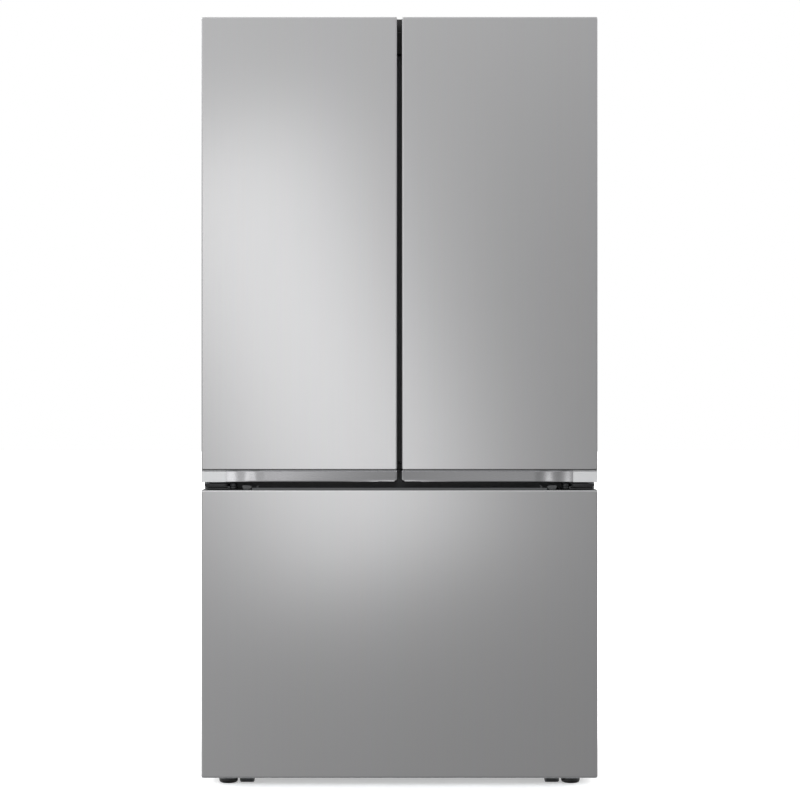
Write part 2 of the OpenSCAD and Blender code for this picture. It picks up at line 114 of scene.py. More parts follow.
def softened(node, body, material, width, segments=2):
    # a copy of a CAD node with its sharp edges rounded
    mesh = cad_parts[node].data.copy()
    bm = bmesh.new()
    bm.from_mesh(mesh)
    bmesh.ops.remove_doubles(bm, verts=bm.verts, dist=0.00001)
    bmesh.ops.dissolve_limit(bm, angle_limit=math.radians(1), verts=bm.verts, edges=bm.edges)
    bmesh.ops.connect_verts_concave(bm, faces=bm.faces)
    bm.to_mesh(mesh)
    bm.free()
    mesh.shade_smooth()
    mesh.set_sharp_from_angle(angle=math.radians(40))
    obj = link(bpy.data.objects.new(node + "_finished", mesh))
    roundedEdges(obj, width, segments)
    return place(obj, body, material, [node])


def addBlock(bm, x0, x1, y0, y1, z0, z1):
    corners = [(x, y, z) for z in (z0, z1) for y in (y0, y1) for x in (x0, x1)]
    v = [bm.verts.new(c) for c in corners]
    for face in ((0, 2, 3, 1), (4, 5, 7, 6), (0, 1, 5, 4), (2, 6, 7, 3), (0, 4, 6, 2), (1, 3, 7, 5)):
        bm.faces.new([v[i] for i in face])


def blockPiece(name, blocks, body, material, width=0.001, segments=2, nodes=()):
    bm = bmesh.new()
    for block in blocks:
        addBlock(bm, *block)
    obj = meshObject(name, bm)
    roundedEdges(obj, width, segments)
    return place(obj, body, material, nodes)


def roundedOutline(u0, u1, v0, v1, radius, steps=6):
    radius = max(min(radius, (u1 - u0) / 2 - 1e-5, (v1 - v0) / 2 - 1e-5), 1e-5)
    centres = ((u1 - radius, v0 + radius, -90), (u1 - radius, v1 - radius, 0),
               (u0 + radius, v1 - radius, 90), (u0 + radius, v0 + radius, 180))
    points = []
    for cu, cv, start in centres:
        for i in range(steps + 1):
            a = math.radians(start + 90 * i / steps)
            points.append((cu + radius * math.cos(a), cv + radius * math.sin(a)))
    return points


def loft(bm, rings, caps=(True, True)):
    loops = [[bm.verts.new(p) for p in ring] for ring in rings]
    for a, b in zip(loops, loops[1:]):
        for i in range(len(a)):
            j = (i + 1) % len(a)
            bm.faces.new((a[i], a[j], b[j], b[i]))
    if caps[0]:
        bm.faces.new(loops[0][::-1])
    if caps[1]:
        bm.faces.new(loops[-1])


def smooth(t):
    # eases from 0 to 1
    t = min(max(t, 0), 1)
    return t * t * (3 - 2 * t)


def turns(count):
    return [2 * math.pi * i / count for i in range(count)]


def facing(u, v, w):
    return (u, w, v)


def upright(u, v, w):
    return (u, v, w)


def shell(bm, rect, radius, profile, frameOf, steps=6):
    # lofts a rounded rectangle through a profile of (inset, depth) steps
    u0, u1, v0, v1 = rect
    rings = []
    for inset, w in profile:
        outline = roundedOutline(u0 + inset, u1 - inset, v0 + inset, v1 - inset, radius - inset, steps)
        rings.append([frameOf(u, v, w) for u, v in outline])
    loft(bm, rings)


def quarter(radius, steps):
    # (inset, depth) of a rounded edge, from the face to the side
    return [(radius * (1 - math.sin(a)), radius * (1 - math.cos(a)))
            for a in (math.pi / 2 * i / steps for i in range(steps + 1))]


def tub(bm, x0, x1, y0, y1, z0, z1, wall, radius, base, draft):
    # an open-topped moulding with round corners, a sloping side and a soft base edge
    profile = [(draft + i, z0 + d) for i, d in quarter(base, 5)]
    profile += [(0, z1 - 0.0008), (0.0008, z1), (wall - 0.0008, z1), (wall, z1 - 0.0008)]
    inner = [(draft + wall + i * 0.7, z0 + wall + d * 0.7) for i, d in quarter(base, 5)]
    shell(bm, (x0, x1, y0, y1), radius, profile + inner[::-1], upright)


def plateWithHoles(bm, rect, w0, w1, holes, frameOf=facing):
    u0, u1, v0, v1 = rect
    us = sorted({u0, u1, *(h[0] for h in holes), *(h[1] for h in holes)})
    vs = sorted({v0, v1, *(h[2] for h in holes), *(h[3] for h in holes)})
    middle = lambda a, i: (a[i] + a[i + 1]) / 2
    solid = {(i, j) for i in range(len(us) - 1) for j in range(len(vs) - 1)
             if not any(h[0] < middle(us, i) < h[1] and h[2] < middle(vs, j) < h[3] for h in holes)}
    verts = {}

    def at(i, j, k):
        if (i, j, k) not in verts:
            verts[i, j, k] = bm.verts.new(frameOf(us[i], vs[j], (w0, w1)[k]))
        return verts[i, j, k]

    for i, j in solid:
        for k in (0, 1):
            bm.faces.new([at(i, j, k), at(i + 1, j, k), at(i + 1, j + 1, k), at(i, j + 1, k)])
        for di, dj, a, b in ((-1, 0, (0, 0), (0, 1)), (1, 0, (1, 0), (1, 1)),
                             (0, -1, (0, 0), (1, 0)), (0, 1, (0, 1), (1, 1))):
            if (i + di, j + dj) not in solid:
                p, q = (i + a[0], j + a[1]), (i + b[0], j + b[1])
                bm.faces.new([at(*p, 0), at(*q, 0), at(*q, 1), at(*p, 1)])


def lathe(bm, centre, axis, profile, count=48):
    # turns (radius, height) steps about an axis, closed at both ends
    turn = Vector((0, 0, 1)).rotation_difference(Vector(axis)).to_matrix()
    rings = []
    for r, h in profile:
        r = max(r, 0.00002)
        ring = [Vector((r * math.cos(t), r * math.sin(t), h)) for t in turns(count)]
        rings.append([Vector(centre) + turn @ p for p in ring])
    loft(bm, rings)


def tube(bm, points, radius, count=12, bend=0.02, steps=6):
    # a round tube along straight runs with bent corners
    path = [Vector(points[0])]
    for before, corner, after in zip(points, points[1:], points[2:]):
        before, corner, after = Vector(before), Vector(corner), Vector(after)
        a = corner + (before - corner).normalized() * min(bend, (before - corner).length / 2.01)
        b = corner + (after - corner).normalized() * min(bend, (after - corner).length / 2.01)
        for i in range(steps + 1):
            path.append(a.lerp(corner, i / steps).lerp(corner.lerp(b, i / steps), i / steps))
    path.append(Vector(points[-1]))
    side = (path[1] - path[0]).orthogonal().normalized()
    rings = []
    for i, p in enumerate(path):
        ahead = (path[min(i + 1, len(path) - 1)] - path[max(i - 1, 0)]).normalized()
        side = (side - ahead * side.dot(ahead)).normalized()
        other = ahead.cross(side)
        rings.append([p + radius * (math.cos(t) * side + math.sin(t) * other) for t in turns(count)])
    loft(bm, rings)


# Geometry Nodes for what repeats

def newGeometryTree(name, inputs):
    tree = bpy.data.node_groups.new(name, "GeometryNodeTree")
    tree.interface.new_socket("Geometry", in_out="INPUT", socket_type="NodeSocketGeometry")
    tree.interface.new_socket("Geometry", in_out="OUTPUT", socket_type="NodeSocketGeometry")
    for label, (kind, value) in inputs.items():
        item = tree.interface.new_socket(label, in_out="INPUT", socket_type="NodeSocket" + kind)
        if value is not None:
            item.default_value = value
    start = tree.nodes.new("NodeGroupInput")
    return tree, start.outputs


def closeTree(tree, geometry, material):
    real = addNode(tree, "GeometryNodeRealizeInstances", links={"Geometry": geometry})
    painted = addNode(tree, "GeometryNodeSetMaterial",
                      links={"Geometry": real.outputs[0], "Material": material})
    addNode(tree, "NodeGroupOutput", links={"Geometry": painted.outputs[0]})


def grow(name, tree, values, points=((0, 0, 0),), edges=(), smoothAngle=35):
    # evaluates a tree on a set of points and keeps the result as a plain mesh
    base = bpy.data.meshes.new(name)
    base.from_pydata([tuple(p) for p in points], list(edges), [])
    obj = link(bpy.data.objects.new(name, base))
    modifier = obj.modifiers.new(name, "NODES")
    modifier.node_group = tree
    for item in tree.interface.items_tree:
        if item.in_out == "INPUT" and item.name in values:
            modifier[item.identifier] = values[item.name]
    graph = bpy.context.evaluated_depsgraph_get()
    mesh = bpy.data.meshes.new_from_object(obj.evaluated_get(graph), depsgraph=graph)
    obj.modifiers.clear()
    obj.data = mesh
    mesh.shade_smooth()
    mesh.set_sharp_from_angle(angle=math.radians(smoothAngle))
    return obj


def screwTree():
    # hexagon head on a pressed washer, with a cross recess
    tree, given = newGeometryTree("screw heads", {
        "Head Radius": ("Float", 0.004), "Head Height": ("Float", 0.003), "Washer Radius": ("Float", 0.006),
        "Direction": ("Vector", (0, 0, 1)), "Finish": ("Material", None)})
    half = addNode(tree, "ShaderNodeMath", {"operation": "MULTIPLY", 1: 0.5}, {0: given["Head Height"]})
    lift = addNode(tree, "ShaderNodeCombineXYZ", links={"Z": half.outputs[0]})
    top = addNode(tree, "ShaderNodeCombineXYZ", links={"Z": given["Head Height"]})
    head = addNode(tree, "GeometryNodeMeshCylinder", {"Vertices": 6},
                   {"Radius": given["Head Radius"], "Depth": given["Head Height"]})
    raised = addNode(tree, "GeometryNodeTransform", links={"Geometry": head.outputs["Mesh"],
                                                           "Translation": lift.outputs[0]})
    thin = addNode(tree, "ShaderNodeMath", {"operation": "MULTIPLY", 1: 0.3}, {0: given["Head Height"]})
    washer = addNode(tree, "GeometryNodeMeshCone", {"Vertices": 24},
                     {"Radius Bottom": given["Washer Radius"], "Radius Top": given["Head Radius"],
                      "Depth": thin.outputs[0]})
    slotLong = addNode(tree, "ShaderNodeMath", {"operation": "MULTIPLY", 1: 1.1}, {0: given["Head Radius"]})
    slotThin = addNode(tree, "ShaderNodeMath", {"operation": "MULTIPLY", 1: 0.22}, {0: given["Head Radius"]})
    carved = raised
    for first, second in ((slotLong, slotThin), (slotThin, slotLong)):
        size = addNode(tree, "ShaderNodeCombineXYZ", links={"X": first.outputs[0], "Y": second.outputs[0],
                                                            "Z": given["Head Height"]})
        bar = addNode(tree, "GeometryNodeMeshCube", links={"Size": size.outputs[0]})
        moved = addNode(tree, "GeometryNodeTransform", links={"Geometry": bar.outputs["Mesh"],
                                                              "Translation": top.outputs[0]})
        carved = addNode(tree, "GeometryNodeMeshBoolean", {"operation": "DIFFERENCE", "solver": "EXACT"},
                         {"Mesh 1": carved.outputs[0], "Mesh 2": moved.outputs[0]})
    whole = addNode(tree, "GeometryNodeJoinGeometry")
    tree.links.new(carved.outputs[0], whole.inputs[0])
    tree.links.new(washer.outputs["Mesh"], whole.inputs[0])
    aim = addNode(tree, "FunctionNodeAlignRotationToVector", {"axis": "Z"}, {"Vector": given["Direction"]})
    spin = addNode(tree, "FunctionNodeRandomValue", {"data_type": "FLOAT", "Seed": 7})
    spin.inputs["Max"].default_value = 1.0
    own = addNode(tree, "ShaderNodeCombineXYZ", links={"Z": spin.outputs[1]})
    turned = addNode(tree, "FunctionNodeRotateRotation", {"rotation_space": "LOCAL"},
                     {"Rotation": aim.outputs[0], "Rotate By": own.outputs[0]})
    spots = addNode(tree, "GeometryNodeInstanceOnPoints",
                    links={"Points": given["Geometry"], "Instance": whole.outputs[0],
                           "Rotation": turned.outputs[0]})
    closeTree(tree, spots.outputs[0], given["Finish"])
    return tree


def barTree():
    # a row of equal bars: fins, ribs, slats or treads
    tree, given = newGeometryTree("bars in a row", {
        "Count": ("Int", 10), "Step": ("Vector", (0.01, 0, 0)), "Size": ("Vector", (0.002, 0.01, 0.01)),
        "Tilt": ("Vector", (0, 0, 0)), "Finish": ("Material", None)})
    line = addNode(tree, "GeometryNodeMeshLine", {"mode": "OFFSET"},
                   {"Count": given["Count"], "Offset": given["Step"]})
    bar = addNode(tree, "GeometryNodeMeshCube", links={"Size": given["Size"]})
    row = addNode(tree, "GeometryNodeInstanceOnPoints",
                  links={"Points": line.outputs[0], "Instance": bar.outputs["Mesh"],
                         "Rotation": given["Tilt"]})
    rows = addNode(tree, "GeometryNodeInstanceOnPoints",
                   links={"Points": given["Geometry"], "Instance": row.outputs[0]})
    closeTree(tree, rows.outputs[0], given["Finish"])
    return tree


def wheelTree():
    # bars round an axis along X, such as a roller's treads or a fan's ribs
    tree, given = newGeometryTree("bars round an axle", {
        "Count": ("Int", 20), "Radius": ("Float", 0.02), "Size": ("Vector", (0.03, 0.001, 0.001)),
        "Finish": ("Material", None)})
    circle = addNode(tree, "GeometryNodeMeshCircle", {"fill_type": "NONE"},
                     {"Vertices": given["Count"], "Radius": given["Radius"]})
    outward = addNode(tree, "GeometryNodeInputPosition")
    aim = addNode(tree, "FunctionNodeAlignRotationToVector", {"axis": "Y"}, {"Vector": outward.outputs[0]})
    swap = addNode(tree, "ShaderNodeSeparateXYZ", links={"Vector": given["Size"]})
    size = addNode(tree, "ShaderNodeCombineXYZ", links={"X": swap.outputs["Z"], "Y": swap.outputs["Y"],
                                                        "Z": swap.outputs["X"]})
    bar = addNode(tree, "GeometryNodeMeshCube", links={"Size": size.outputs[0]})
    ring = addNode(tree, "GeometryNodeInstanceOnPoints",
                   links={"Points": circle.outputs[0], "Instance": bar.outputs["Mesh"],
                          "Rotation": aim.outputs[0]})
    laid = addNode(tree, "GeometryNodeTransform", {"Rotation": (0, math.pi / 2, 0)},
                   {"Geometry": ring.outputs[0]})
    spots = addNode(tree, "GeometryNodeInstanceOnPoints",
                    links={"Points": given["Geometry"], "Instance": laid.outputs[0]})
    closeTree(tree, spots.outputs[0], given["Finish"])
    return tree


def sealTree():
    # sweeps a seal's section, given as points, round a rectangle in the XZ plane
    tree, given = newGeometryTree("swept seal", {
        "Width": ("Float", 0.4), "Height": ("Float", 1.0), "Corner": ("Float", 0.006),
        "Centre": ("Vector", (0, 0, 0)), "Finish": ("Material", None)})
    rail = addNode(tree, "GeometryNodeCurvePrimitiveQuadrilateral", {"mode": "RECTANGLE"},
                   {"Width": given["Width"], "Height": given["Height"]})
    soft = addNode(tree, "GeometryNodeFilletCurve", {"mode": "POLY", "Count": 6},
                   {"Curve": rail.outputs[0], "Radius": given["Corner"]})
    section = addNode(tree, "GeometryNodeMeshToCurve", links={"Mesh": given["Geometry"]})
    swept = addNode(tree, "GeometryNodeCurveToMesh", links={"Curve": soft.outputs[0],
                                                            "Profile Curve": section.outputs[0]})
    stood = addNode(tree, "GeometryNodeTransform", {"Rotation": (math.pi / 2, 0, 0)},
                    {"Geometry": swept.outputs[0], "Translation": given["Centre"]})
    closeTree(tree, stood.outputs[0], given["Finish"])
    return tree


screws = screwTree()
bars = barTree()
wheels = wheelTree()
seals = sealTree()
print("node trees made")


# materials

def surface(name, colours, metallic, roughness, grain, blotch=120, **sockets):
    # colours: main and second tone, mixed in large soft patches of blotch millimetres
    # roughness: lowest and highest; grain: size in mm, stretch along X, Y, Z, and height in mm
    material = bpy.data.materials.new(name)
    material.use_nodes = True
    tree = material.node_tree
    shader = tree.nodes["Principled BSDF"]
    shader.inputs["Metallic"].default_value = metallic
    for key, value in sockets.items():
        shader.inputs[key.replace("_", " ")].default_value = value
    place3d = addNode(tree, "ShaderNodeTexCoord").outputs["Object"]
    size, stretch, height = grain
    fine = addNode(tree, "ShaderNodeMapping", {"Scale": [1000 / size / s for s in stretch]},
                   {"Vector": place3d})
    fineNoise = addNode(tree, "ShaderNodeTexNoise", {"Scale": 1.0, "Detail": 3.0, "Roughness": 0.6},
                        {"Vector": fine.outputs[0]})
    softNoise = addNode(tree, "ShaderNodeTexNoise", {"Scale": 1000 / blotch, "Detail": 2.0},
                        {"Vector": place3d})
    tone = addNode(tree, "ShaderNodeMix", {"data_type": "RGBA", 6: linear(colours[0]), 7: linear(colours[1])},
                   {0: softNoise.outputs["Fac"]})
    tree.links.new(tone.outputs[2], shader.inputs["Base Color"])
    gloss = addNode(tree, "ShaderNodeMapRange", {"From Min": 0.3, "From Max": 0.7, "To Min": roughness[0],
                                                 "To Max": roughness[1]}, {"Value": fineNoise.outputs["Fac"]})
    tree.links.new(gloss.outputs[0], shader.inputs["Roughness"])
    relief = addNode(tree, "ShaderNodeBump", {"Distance": height / 1000, "Strength": 0.35},
                     {"Height": fineNoise.outputs["Fac"]})
    tree.links.new(relief.outputs[0], shader.inputs["Normal"])
    return material


# brushed stainless: a satin grey that blurs what it mirrors; the brush marks run up and down, about
# 0.3 mm apart on the real sheet and drawn three times as coarse so that they show
stainless = surface("brushed stainless, lacquered", ("#C3C3C4", "#BEBEBF"), 1.0, (0.285, 0.315),
                    (0.9, (1, 1, 60), 0.004), 700, Anisotropic=0.35)
tree = stainless.node_tree
shader = tree.nodes["Principled BSDF"]
# longer streaks in its tone: per metre across and along, and how strong
streaks = dict(scale=(260, 260, 1.1), strength=0.035)
longStreaks = addNode(tree, "ShaderNodeMapping", {"Scale": streaks["scale"]},
                      {"Vector": tree.nodes["Texture Coordinate"].outputs["Object"]})
streakNoise = addNode(tree, "ShaderNodeTexNoise", {"Scale": 1.0, "Detail": 1.0},
                      {"Vector": longStreaks.outputs[0]})
streakTone = addNode(tree, "ShaderNodeMix",
                     {"data_type": "RGBA", "blend_type": "MULTIPLY", 0: streaks["strength"]},
                     {6: shader.inputs["Base Color"].links[0].from_socket, 7: streakNoise.outputs["Color"]})
tree.links.new(streakTone.outputs[2], shader.inputs["Base Color"])

# satin anodised aluminium for the trim below the doors: brighter and smoother than the panels
brightTrim = surface("satin anodised aluminium", ("#C8C8CA", "#C0C0C2"), 1.0, (0.23, 0.25),
                     (0.6, (80, 1, 1), 0.001), 300)
# silver paint on the moulded end caps of that trim: light metal flakes in a matt coat
silverPaint = surface("silver paint on ABS", ("#BFC0C1", "#BABBBC"), 0.35, (0.42, 0.48),
                      (0.5, (1, 1, 1), 0.004), 200)
# powder coat on the case: dark grey with a faint orange peel of about 2 mm
casePaint = surface("powder coated steel, grey", ("#57595B", "#525456"), 0.0, (0.42, 0.5),
                    (2.0, (1, 1, 1), 0.03), 400, Specular_IOR_Level=0.5)
# hot-dip galvanised sheet with a spangle of crystals some 9 mm across
galvanised = surface("galvanised sheet", ("#9C9FA1", "#909396"), 0.85, (0.4, 0.52),
                     (3.0, (1, 1, 1), 0.01), 90)
tree = galvanised.node_tree
shader = tree.nodes["Principled BSDF"]
spangle = addNode(tree, "ShaderNodeTexVoronoi", {"Scale": 110.0},
                  {"Vector": tree.nodes["Texture Coordinate"].outputs["Object"]})
spangleTone = addNode(tree, "ShaderNodeMix", {"data_type": "RGBA", "blend_type": "OVERLAY", 0: 0.16},
                      {6: shader.inputs["Base Color"].links[0].from_socket, 7: spangle.outputs["Color"]})
greySpangle = addNode(tree, "ShaderNodeHueSaturation", {"Saturation": 0.06},
                      {"Color": spangleTone.outputs[2]})
tree.links.new(greySpangle.outputs[0], shader.inputs["Base Color"])
# thermoformed HIPS liner: cool white, semi gloss, with the shallow waviness of a vacuum-formed sheet
hips = surface("thermoformed HIPS liner", ("#ECEFF1", "#E8ECEF"), 0.0, (0.29, 0.31),
               (60.0, (1, 1, 1), 0.02), 400, IOR=1.59)
# injection moulded ABS with a spark-eroded grain of 0.4 mm, drawn at 0.8 mm
blackAbs = surface("moulded ABS, black", ("#101011", "#0C0C0D"), 0.0, (0.42, 0.55),
                   (0.8, (1, 1, 1), 0.03), 60, IOR=1.54)
greyAbs = surface("moulded ABS, dark grey", ("#3C3D3F", "#37393A"), 0.0, (0.4, 0.52),
                  (0.8, (1, 1, 1), 0.03), 60, IOR=1.54)
whiteAbs = surface("moulded ABS, white", ("#E9ECEE", "#E2E6E9"), 0.0, (0.28, 0.38),
                   (1.0, (1, 1, 1), 0.02), 80, IOR=1.54)
# soft PVC of the magnetic gaskets: grey, dull, faintly greasy
gasketPvc = surface("soft PVC gasket", ("#6E7173", "#66696B"), 0.0, (0.48, 0.62), (1.2, (1, 1, 1), 0.04), 50)
# clear polystyrene: slightly blue, with moulding flow in its gloss
clearPs = surface("clear polystyrene", ("#F2F8FA", "#EAF3F6"), 0.0, (0.04, 0.09), (18.0, (1, 1, 3), 0.04), 90,
                  IOR=1.59, Transmission_Weight=0.9)
# tempered soda-lime glass: a faint green cast
glass = surface("tempered glass", ("#EEF7F3", "#E6F3EE"), 0.0, (0.0, 0.03), (40.0, (1, 1, 1), 0.02), 200,
                IOR=1.52, Transmission_Weight=1.0)
# bright zinc plating: bluish, with soft clouding
zinc = surface("zinc plated steel", ("#B9BDC2", "#A7ABB2"), 1.0, (0.26, 0.4), (1.5, (1, 1, 1), 0.01), 18)
# black e-coat on the hinge plates
hingePaint = surface("e-coated steel, black", ("#2C2D2F", "#242527"), 0.25, (0.34, 0.46),
                     (1.2, (1, 1, 1), 0.02), 40)
# stoved gloss enamel of the compressor's shell
blackEnamel = surface("gloss enamel, black", ("#0D0D0E", "#131315"), 0.0, (0.16, 0.26),
                      (3.0, (1, 1, 1), 0.04), 60, Coat_Weight=0.4)
# drawn copper: pinkish, tarnished brown in patches
copper = surface("drawn copper tube", ("#B87350", "#8A5238"), 1.0, (0.22, 0.42), (1.0, (1, 1, 1), 0.01), 22)
# mill finish fin stock
finStock = surface("aluminium fin stock", ("#C9CCCF", "#B8BCC0"), 1.0, (0.25, 0.4),
                   (0.7, (1, 20, 1), 0.004), 45)
# two-part polyurethane foam: pale yellow closed cells about 1 mm across under a skin
foam = surface("rigid polyurethane foam", ("#D9C892", "#C9B47A"), 0.0, (0.8, 0.95), (1.2, (1, 1, 1), 0.5), 35)
# glass-epoxy board under green solder mask
board = surface("circuit board, solder mask", ("#14532D", "#0F4425"), 0.0, (0.25, 0.4),
                (2.0, (4, 1, 1), 0.02), 12)
# frosted acrylic of the lamp's cover, lit from behind
lampCover = surface("frosted acrylic, lit", ("#FFFFFF", "#F4F8FF"), 0.0, (0.4, 0.5),
                    (1.0, (1, 1, 1), 0.02), 60, Emission_Strength=7.0, Emission_Color=linear("#F3F7FF"))
print("materials made")


# camera, sky, lamps and floor
view = dict(place=(0.0012, -4.965, 0.894), lens=90.4)
cameraData = bpy.data.cameras.new("camera")
cameraData.lens = view["lens"]
cameraData.clip_end = 50
camera = link(bpy.data.objects.new("camera", cameraData))
camera.location = view["place"]
camera.rotation_euler = (math.pi / 2, 0, 0)
bpy.context.scene.camera = camera
bpy.context.scene.view_settings.view_transform = "Standard"

# the room round it: brighter above and to the left, dark straight below, and white where the camera sees it
studio = dict(above=1.0, level=0.455, below=0.41, straightDown=0.04, left=0.40, farRight=0.5, behind=0.9)
world = bpy.data.worlds.new("studio")
bpy.context.scene.world = world
world.use_nodes = True
tree = world.node_tree
tree.nodes.clear()
heading = addNode(tree, "ShaderNodeTexCoord").outputs["Generated"]
parts = addNode(tree, "ShaderNodeSeparateXYZ", links={"Vector": heading})
# each reads one part of the direction between two limits and gives a strength at each of them
ranges = dict(sky=("Z", 0.03, 0.30, 0.0, studio["above"] - studio["level"]),
              ground=("Z", -0.4, 0.0, studio["below"], studio["level"]),
              deep=("Z", -0.9, -0.35, studio["straightDown"], 1.0),
              slope=("X", -0.25, 0.25, 1 + studio["left"], 1 - studio["left"]),
              rightEdge=("X", 0.35, 0.8, 0.0, studio["farRight"]),
              rear=("Y", 0.0, 0.6, 1.0, 1 + studio["behind"]))
strength = {}
for name, (axis, *limits) in ranges.items():
    settings = dict(zip(("From Min", "From Max", "To Min", "To Max"), limits))
    settings["interpolation_type"] = "SMOOTHSTEP" if name == "sky" else "LINEAR"
    strength[name] = addNode(tree, "ShaderNodeMapRange", settings, {"Value": parts.outputs[axis]}).outputs[0]
for name, operation, first, second in (("low", "MULTIPLY", "ground", "deep"), ("height", "ADD", "sky", "low"),
                                       ("across", "ADD", "slope", "rightEdge"),
                                       ("front", "MULTIPLY", "height", "across"),
                                       ("all", "MULTIPLY", "front", "rear")):
    strength[name] = addNode(tree, "ShaderNodeMath", {"operation": operation},
                             {0: strength[first], 1: strength[second]}).outputs[0]
seen = addNode(tree, "ShaderNodeBackground", {"Color": (1, 1, 1, 1), "Strength": 1.0})
unseen = addNode(tree, "ShaderNodeBackground", {"Color": (1, 1, 1, 1)}, {"Strength": strength["all"]})
ray = addNode(tree, "ShaderNodeLightPath")
both = addNode(tree, "ShaderNodeMixShader",
               links={0: ray.outputs["Is Camera Ray"], 1: unseen.outputs[0], 2: seen.outputs[0]})
addNode(tree, "ShaderNodeOutputWorld", links={"Surface": both.outputs[0]})

# a tall panel in front draws the soft light band on the doors, a wide one behind lights the back
lamps = dict(
    frontLeft=dict(place=(-0.315, -2.1, 1.055), aim=(-0.315, 0, 1.055), size=(0.63, 1.47), tilt=21,
                   power=3.35),
    behind=dict(place=(1.5, 4.0, 2.6), aim=(0, 0.2, 0.9), size=(3.0, 2.0), tilt=0, power=30))
sunData = bpy.data.lights.new("soft light from above", "SUN")
sunData.energy = 0.9
sunData.angle = math.radians(70)    # wide, so that its shadows have no edge
sun = link(bpy.data.objects.new("soft light from above", sunData))
sun.visible_glossy = False
for name, lamp in lamps.items():
    data = bpy.data.lights.new(name, "AREA")
    data.shape = "RECTANGLE"
    data.size, data.size_y = lamp["size"]
    data.energy = lamp["power"]
    obj = link(bpy.data.objects.new(name, data))
    aim = (Vector(lamp["aim"]) - Vector(lamp["place"])).to_track_quat("-Z", "Y").to_matrix().to_4x4()
    spin = Matrix.Rotation(math.radians(lamp["tilt"]), 4, "Z")
    obj.matrix_world = Matrix.Translation(lamp["place"]) @ aim @ spin
    obj.visible_camera = False
    obj.visible_glossy = name == "frontLeft"

bm = bmesh.new()
addBlock(bm, -20, 20, -12, 30, -0.02, 0)
floor = meshObject("floor", bm)
paper = bpy.data.materials.new("matt paper floor")          # seamless background paper, no gloss at all
paper.use_nodes = True
shader = paper.node_tree.nodes["Principled BSDF"]
shader.inputs["Base Color"].default_value = linear("#F2F2F2")
shader.inputs["Emission Color"].default_value = linear("#FFFFFF")   # lit from below as on a light table
shader.inputs["Emission Strength"].default_value = 0.42
shader.inputs["Roughness"].default_value = 0.95
shader.inputs["Specular IOR Level"].default_value = 0.0
floor.data.materials.append(paper)
floor.visible_glossy = False
print("camera, sky, lamps and floor made")


# cuts blocks out of a piece
def carve(obj, blocks):
    bm = bmesh.new()
    for block in blocks:
        addBlock(bm, *block)
    cutter = meshObject("cutter", bm)
    modifier = obj.modifiers.new("cut", "BOOLEAN")
    modifier.operation = "DIFFERENCE"
    modifier.solver = "EXACT"
    modifier.object = cutter
    graph = bpy.context.evaluated_depsgraph_get()
    mesh = bpy.data.meshes.new_from_object(obj.evaluated_get(graph), depsgraph=graph)
    obj.modifiers.clear()
    obj.data = mesh
    bpy.data.objects.remove(cutter)
    return obj


# outer skins of the doors and the drawer: one folded sheet each, its edges rolled round the front
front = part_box("left_door_panel")[0].y
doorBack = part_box("left_door_liner")[0].y + 0.003
skin = dict(roll=0.0036, corner=0.0048, sheet=0.001, lip=0.006, drawerLip=0.0055, fold=0.012, side=0.004,
            shoulder=1.744)
doors = {"left_door": -1, "right_door": 1}


def sheetShell(x0, x1, z0, z1, y0, y1, name):
    bm = bmesh.new()
    t, roll = skin["sheet"], skin["roll"]
    inner = [(t + i, y0 + t + d) for i, d in quarter(roll - t, 6)]
    outer = [(i, y0 + d) for i, d in quarter(roll, 6)]
    shell(bm, (x0, x1, z0, z1), skin["corner"], inner + [(t, y1), (0, y1)] + outer[::-1], facing)
    return meshObject(name, bm, 30)


for body, node in (("left_door", "left_door_panel"), ("right_door", "right_door_panel"),
                   ("freezer_drawer", "drawer_panel")):
    lo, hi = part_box(node)
    panel = sheetShell(lo.x, hi.x, lo.z, hi.z, lo.y, hi.y, body + "_skin")
    # the side walls stop short at the top and at the foot, where the plastic caps show
    top = (lo.x + skin["side"], hi.x - skin["side"], front + skin["drawerLip"], 0, hi.z - 0.002, hi.z + 0.01)
    if body in doors:
        top = (lo.x - 0.01, hi.x + 0.01, front + skin["lip"], 0, skin["shoulder"], 2)
    foot = (lo.x + skin["side"], hi.x - skin["side"], front + skin["fold"], 0, lo.z - 0.01, lo.z + 0.002)
    carve(panel, [top, foot])
    place(evenShading(panel), body, stainless, [node])

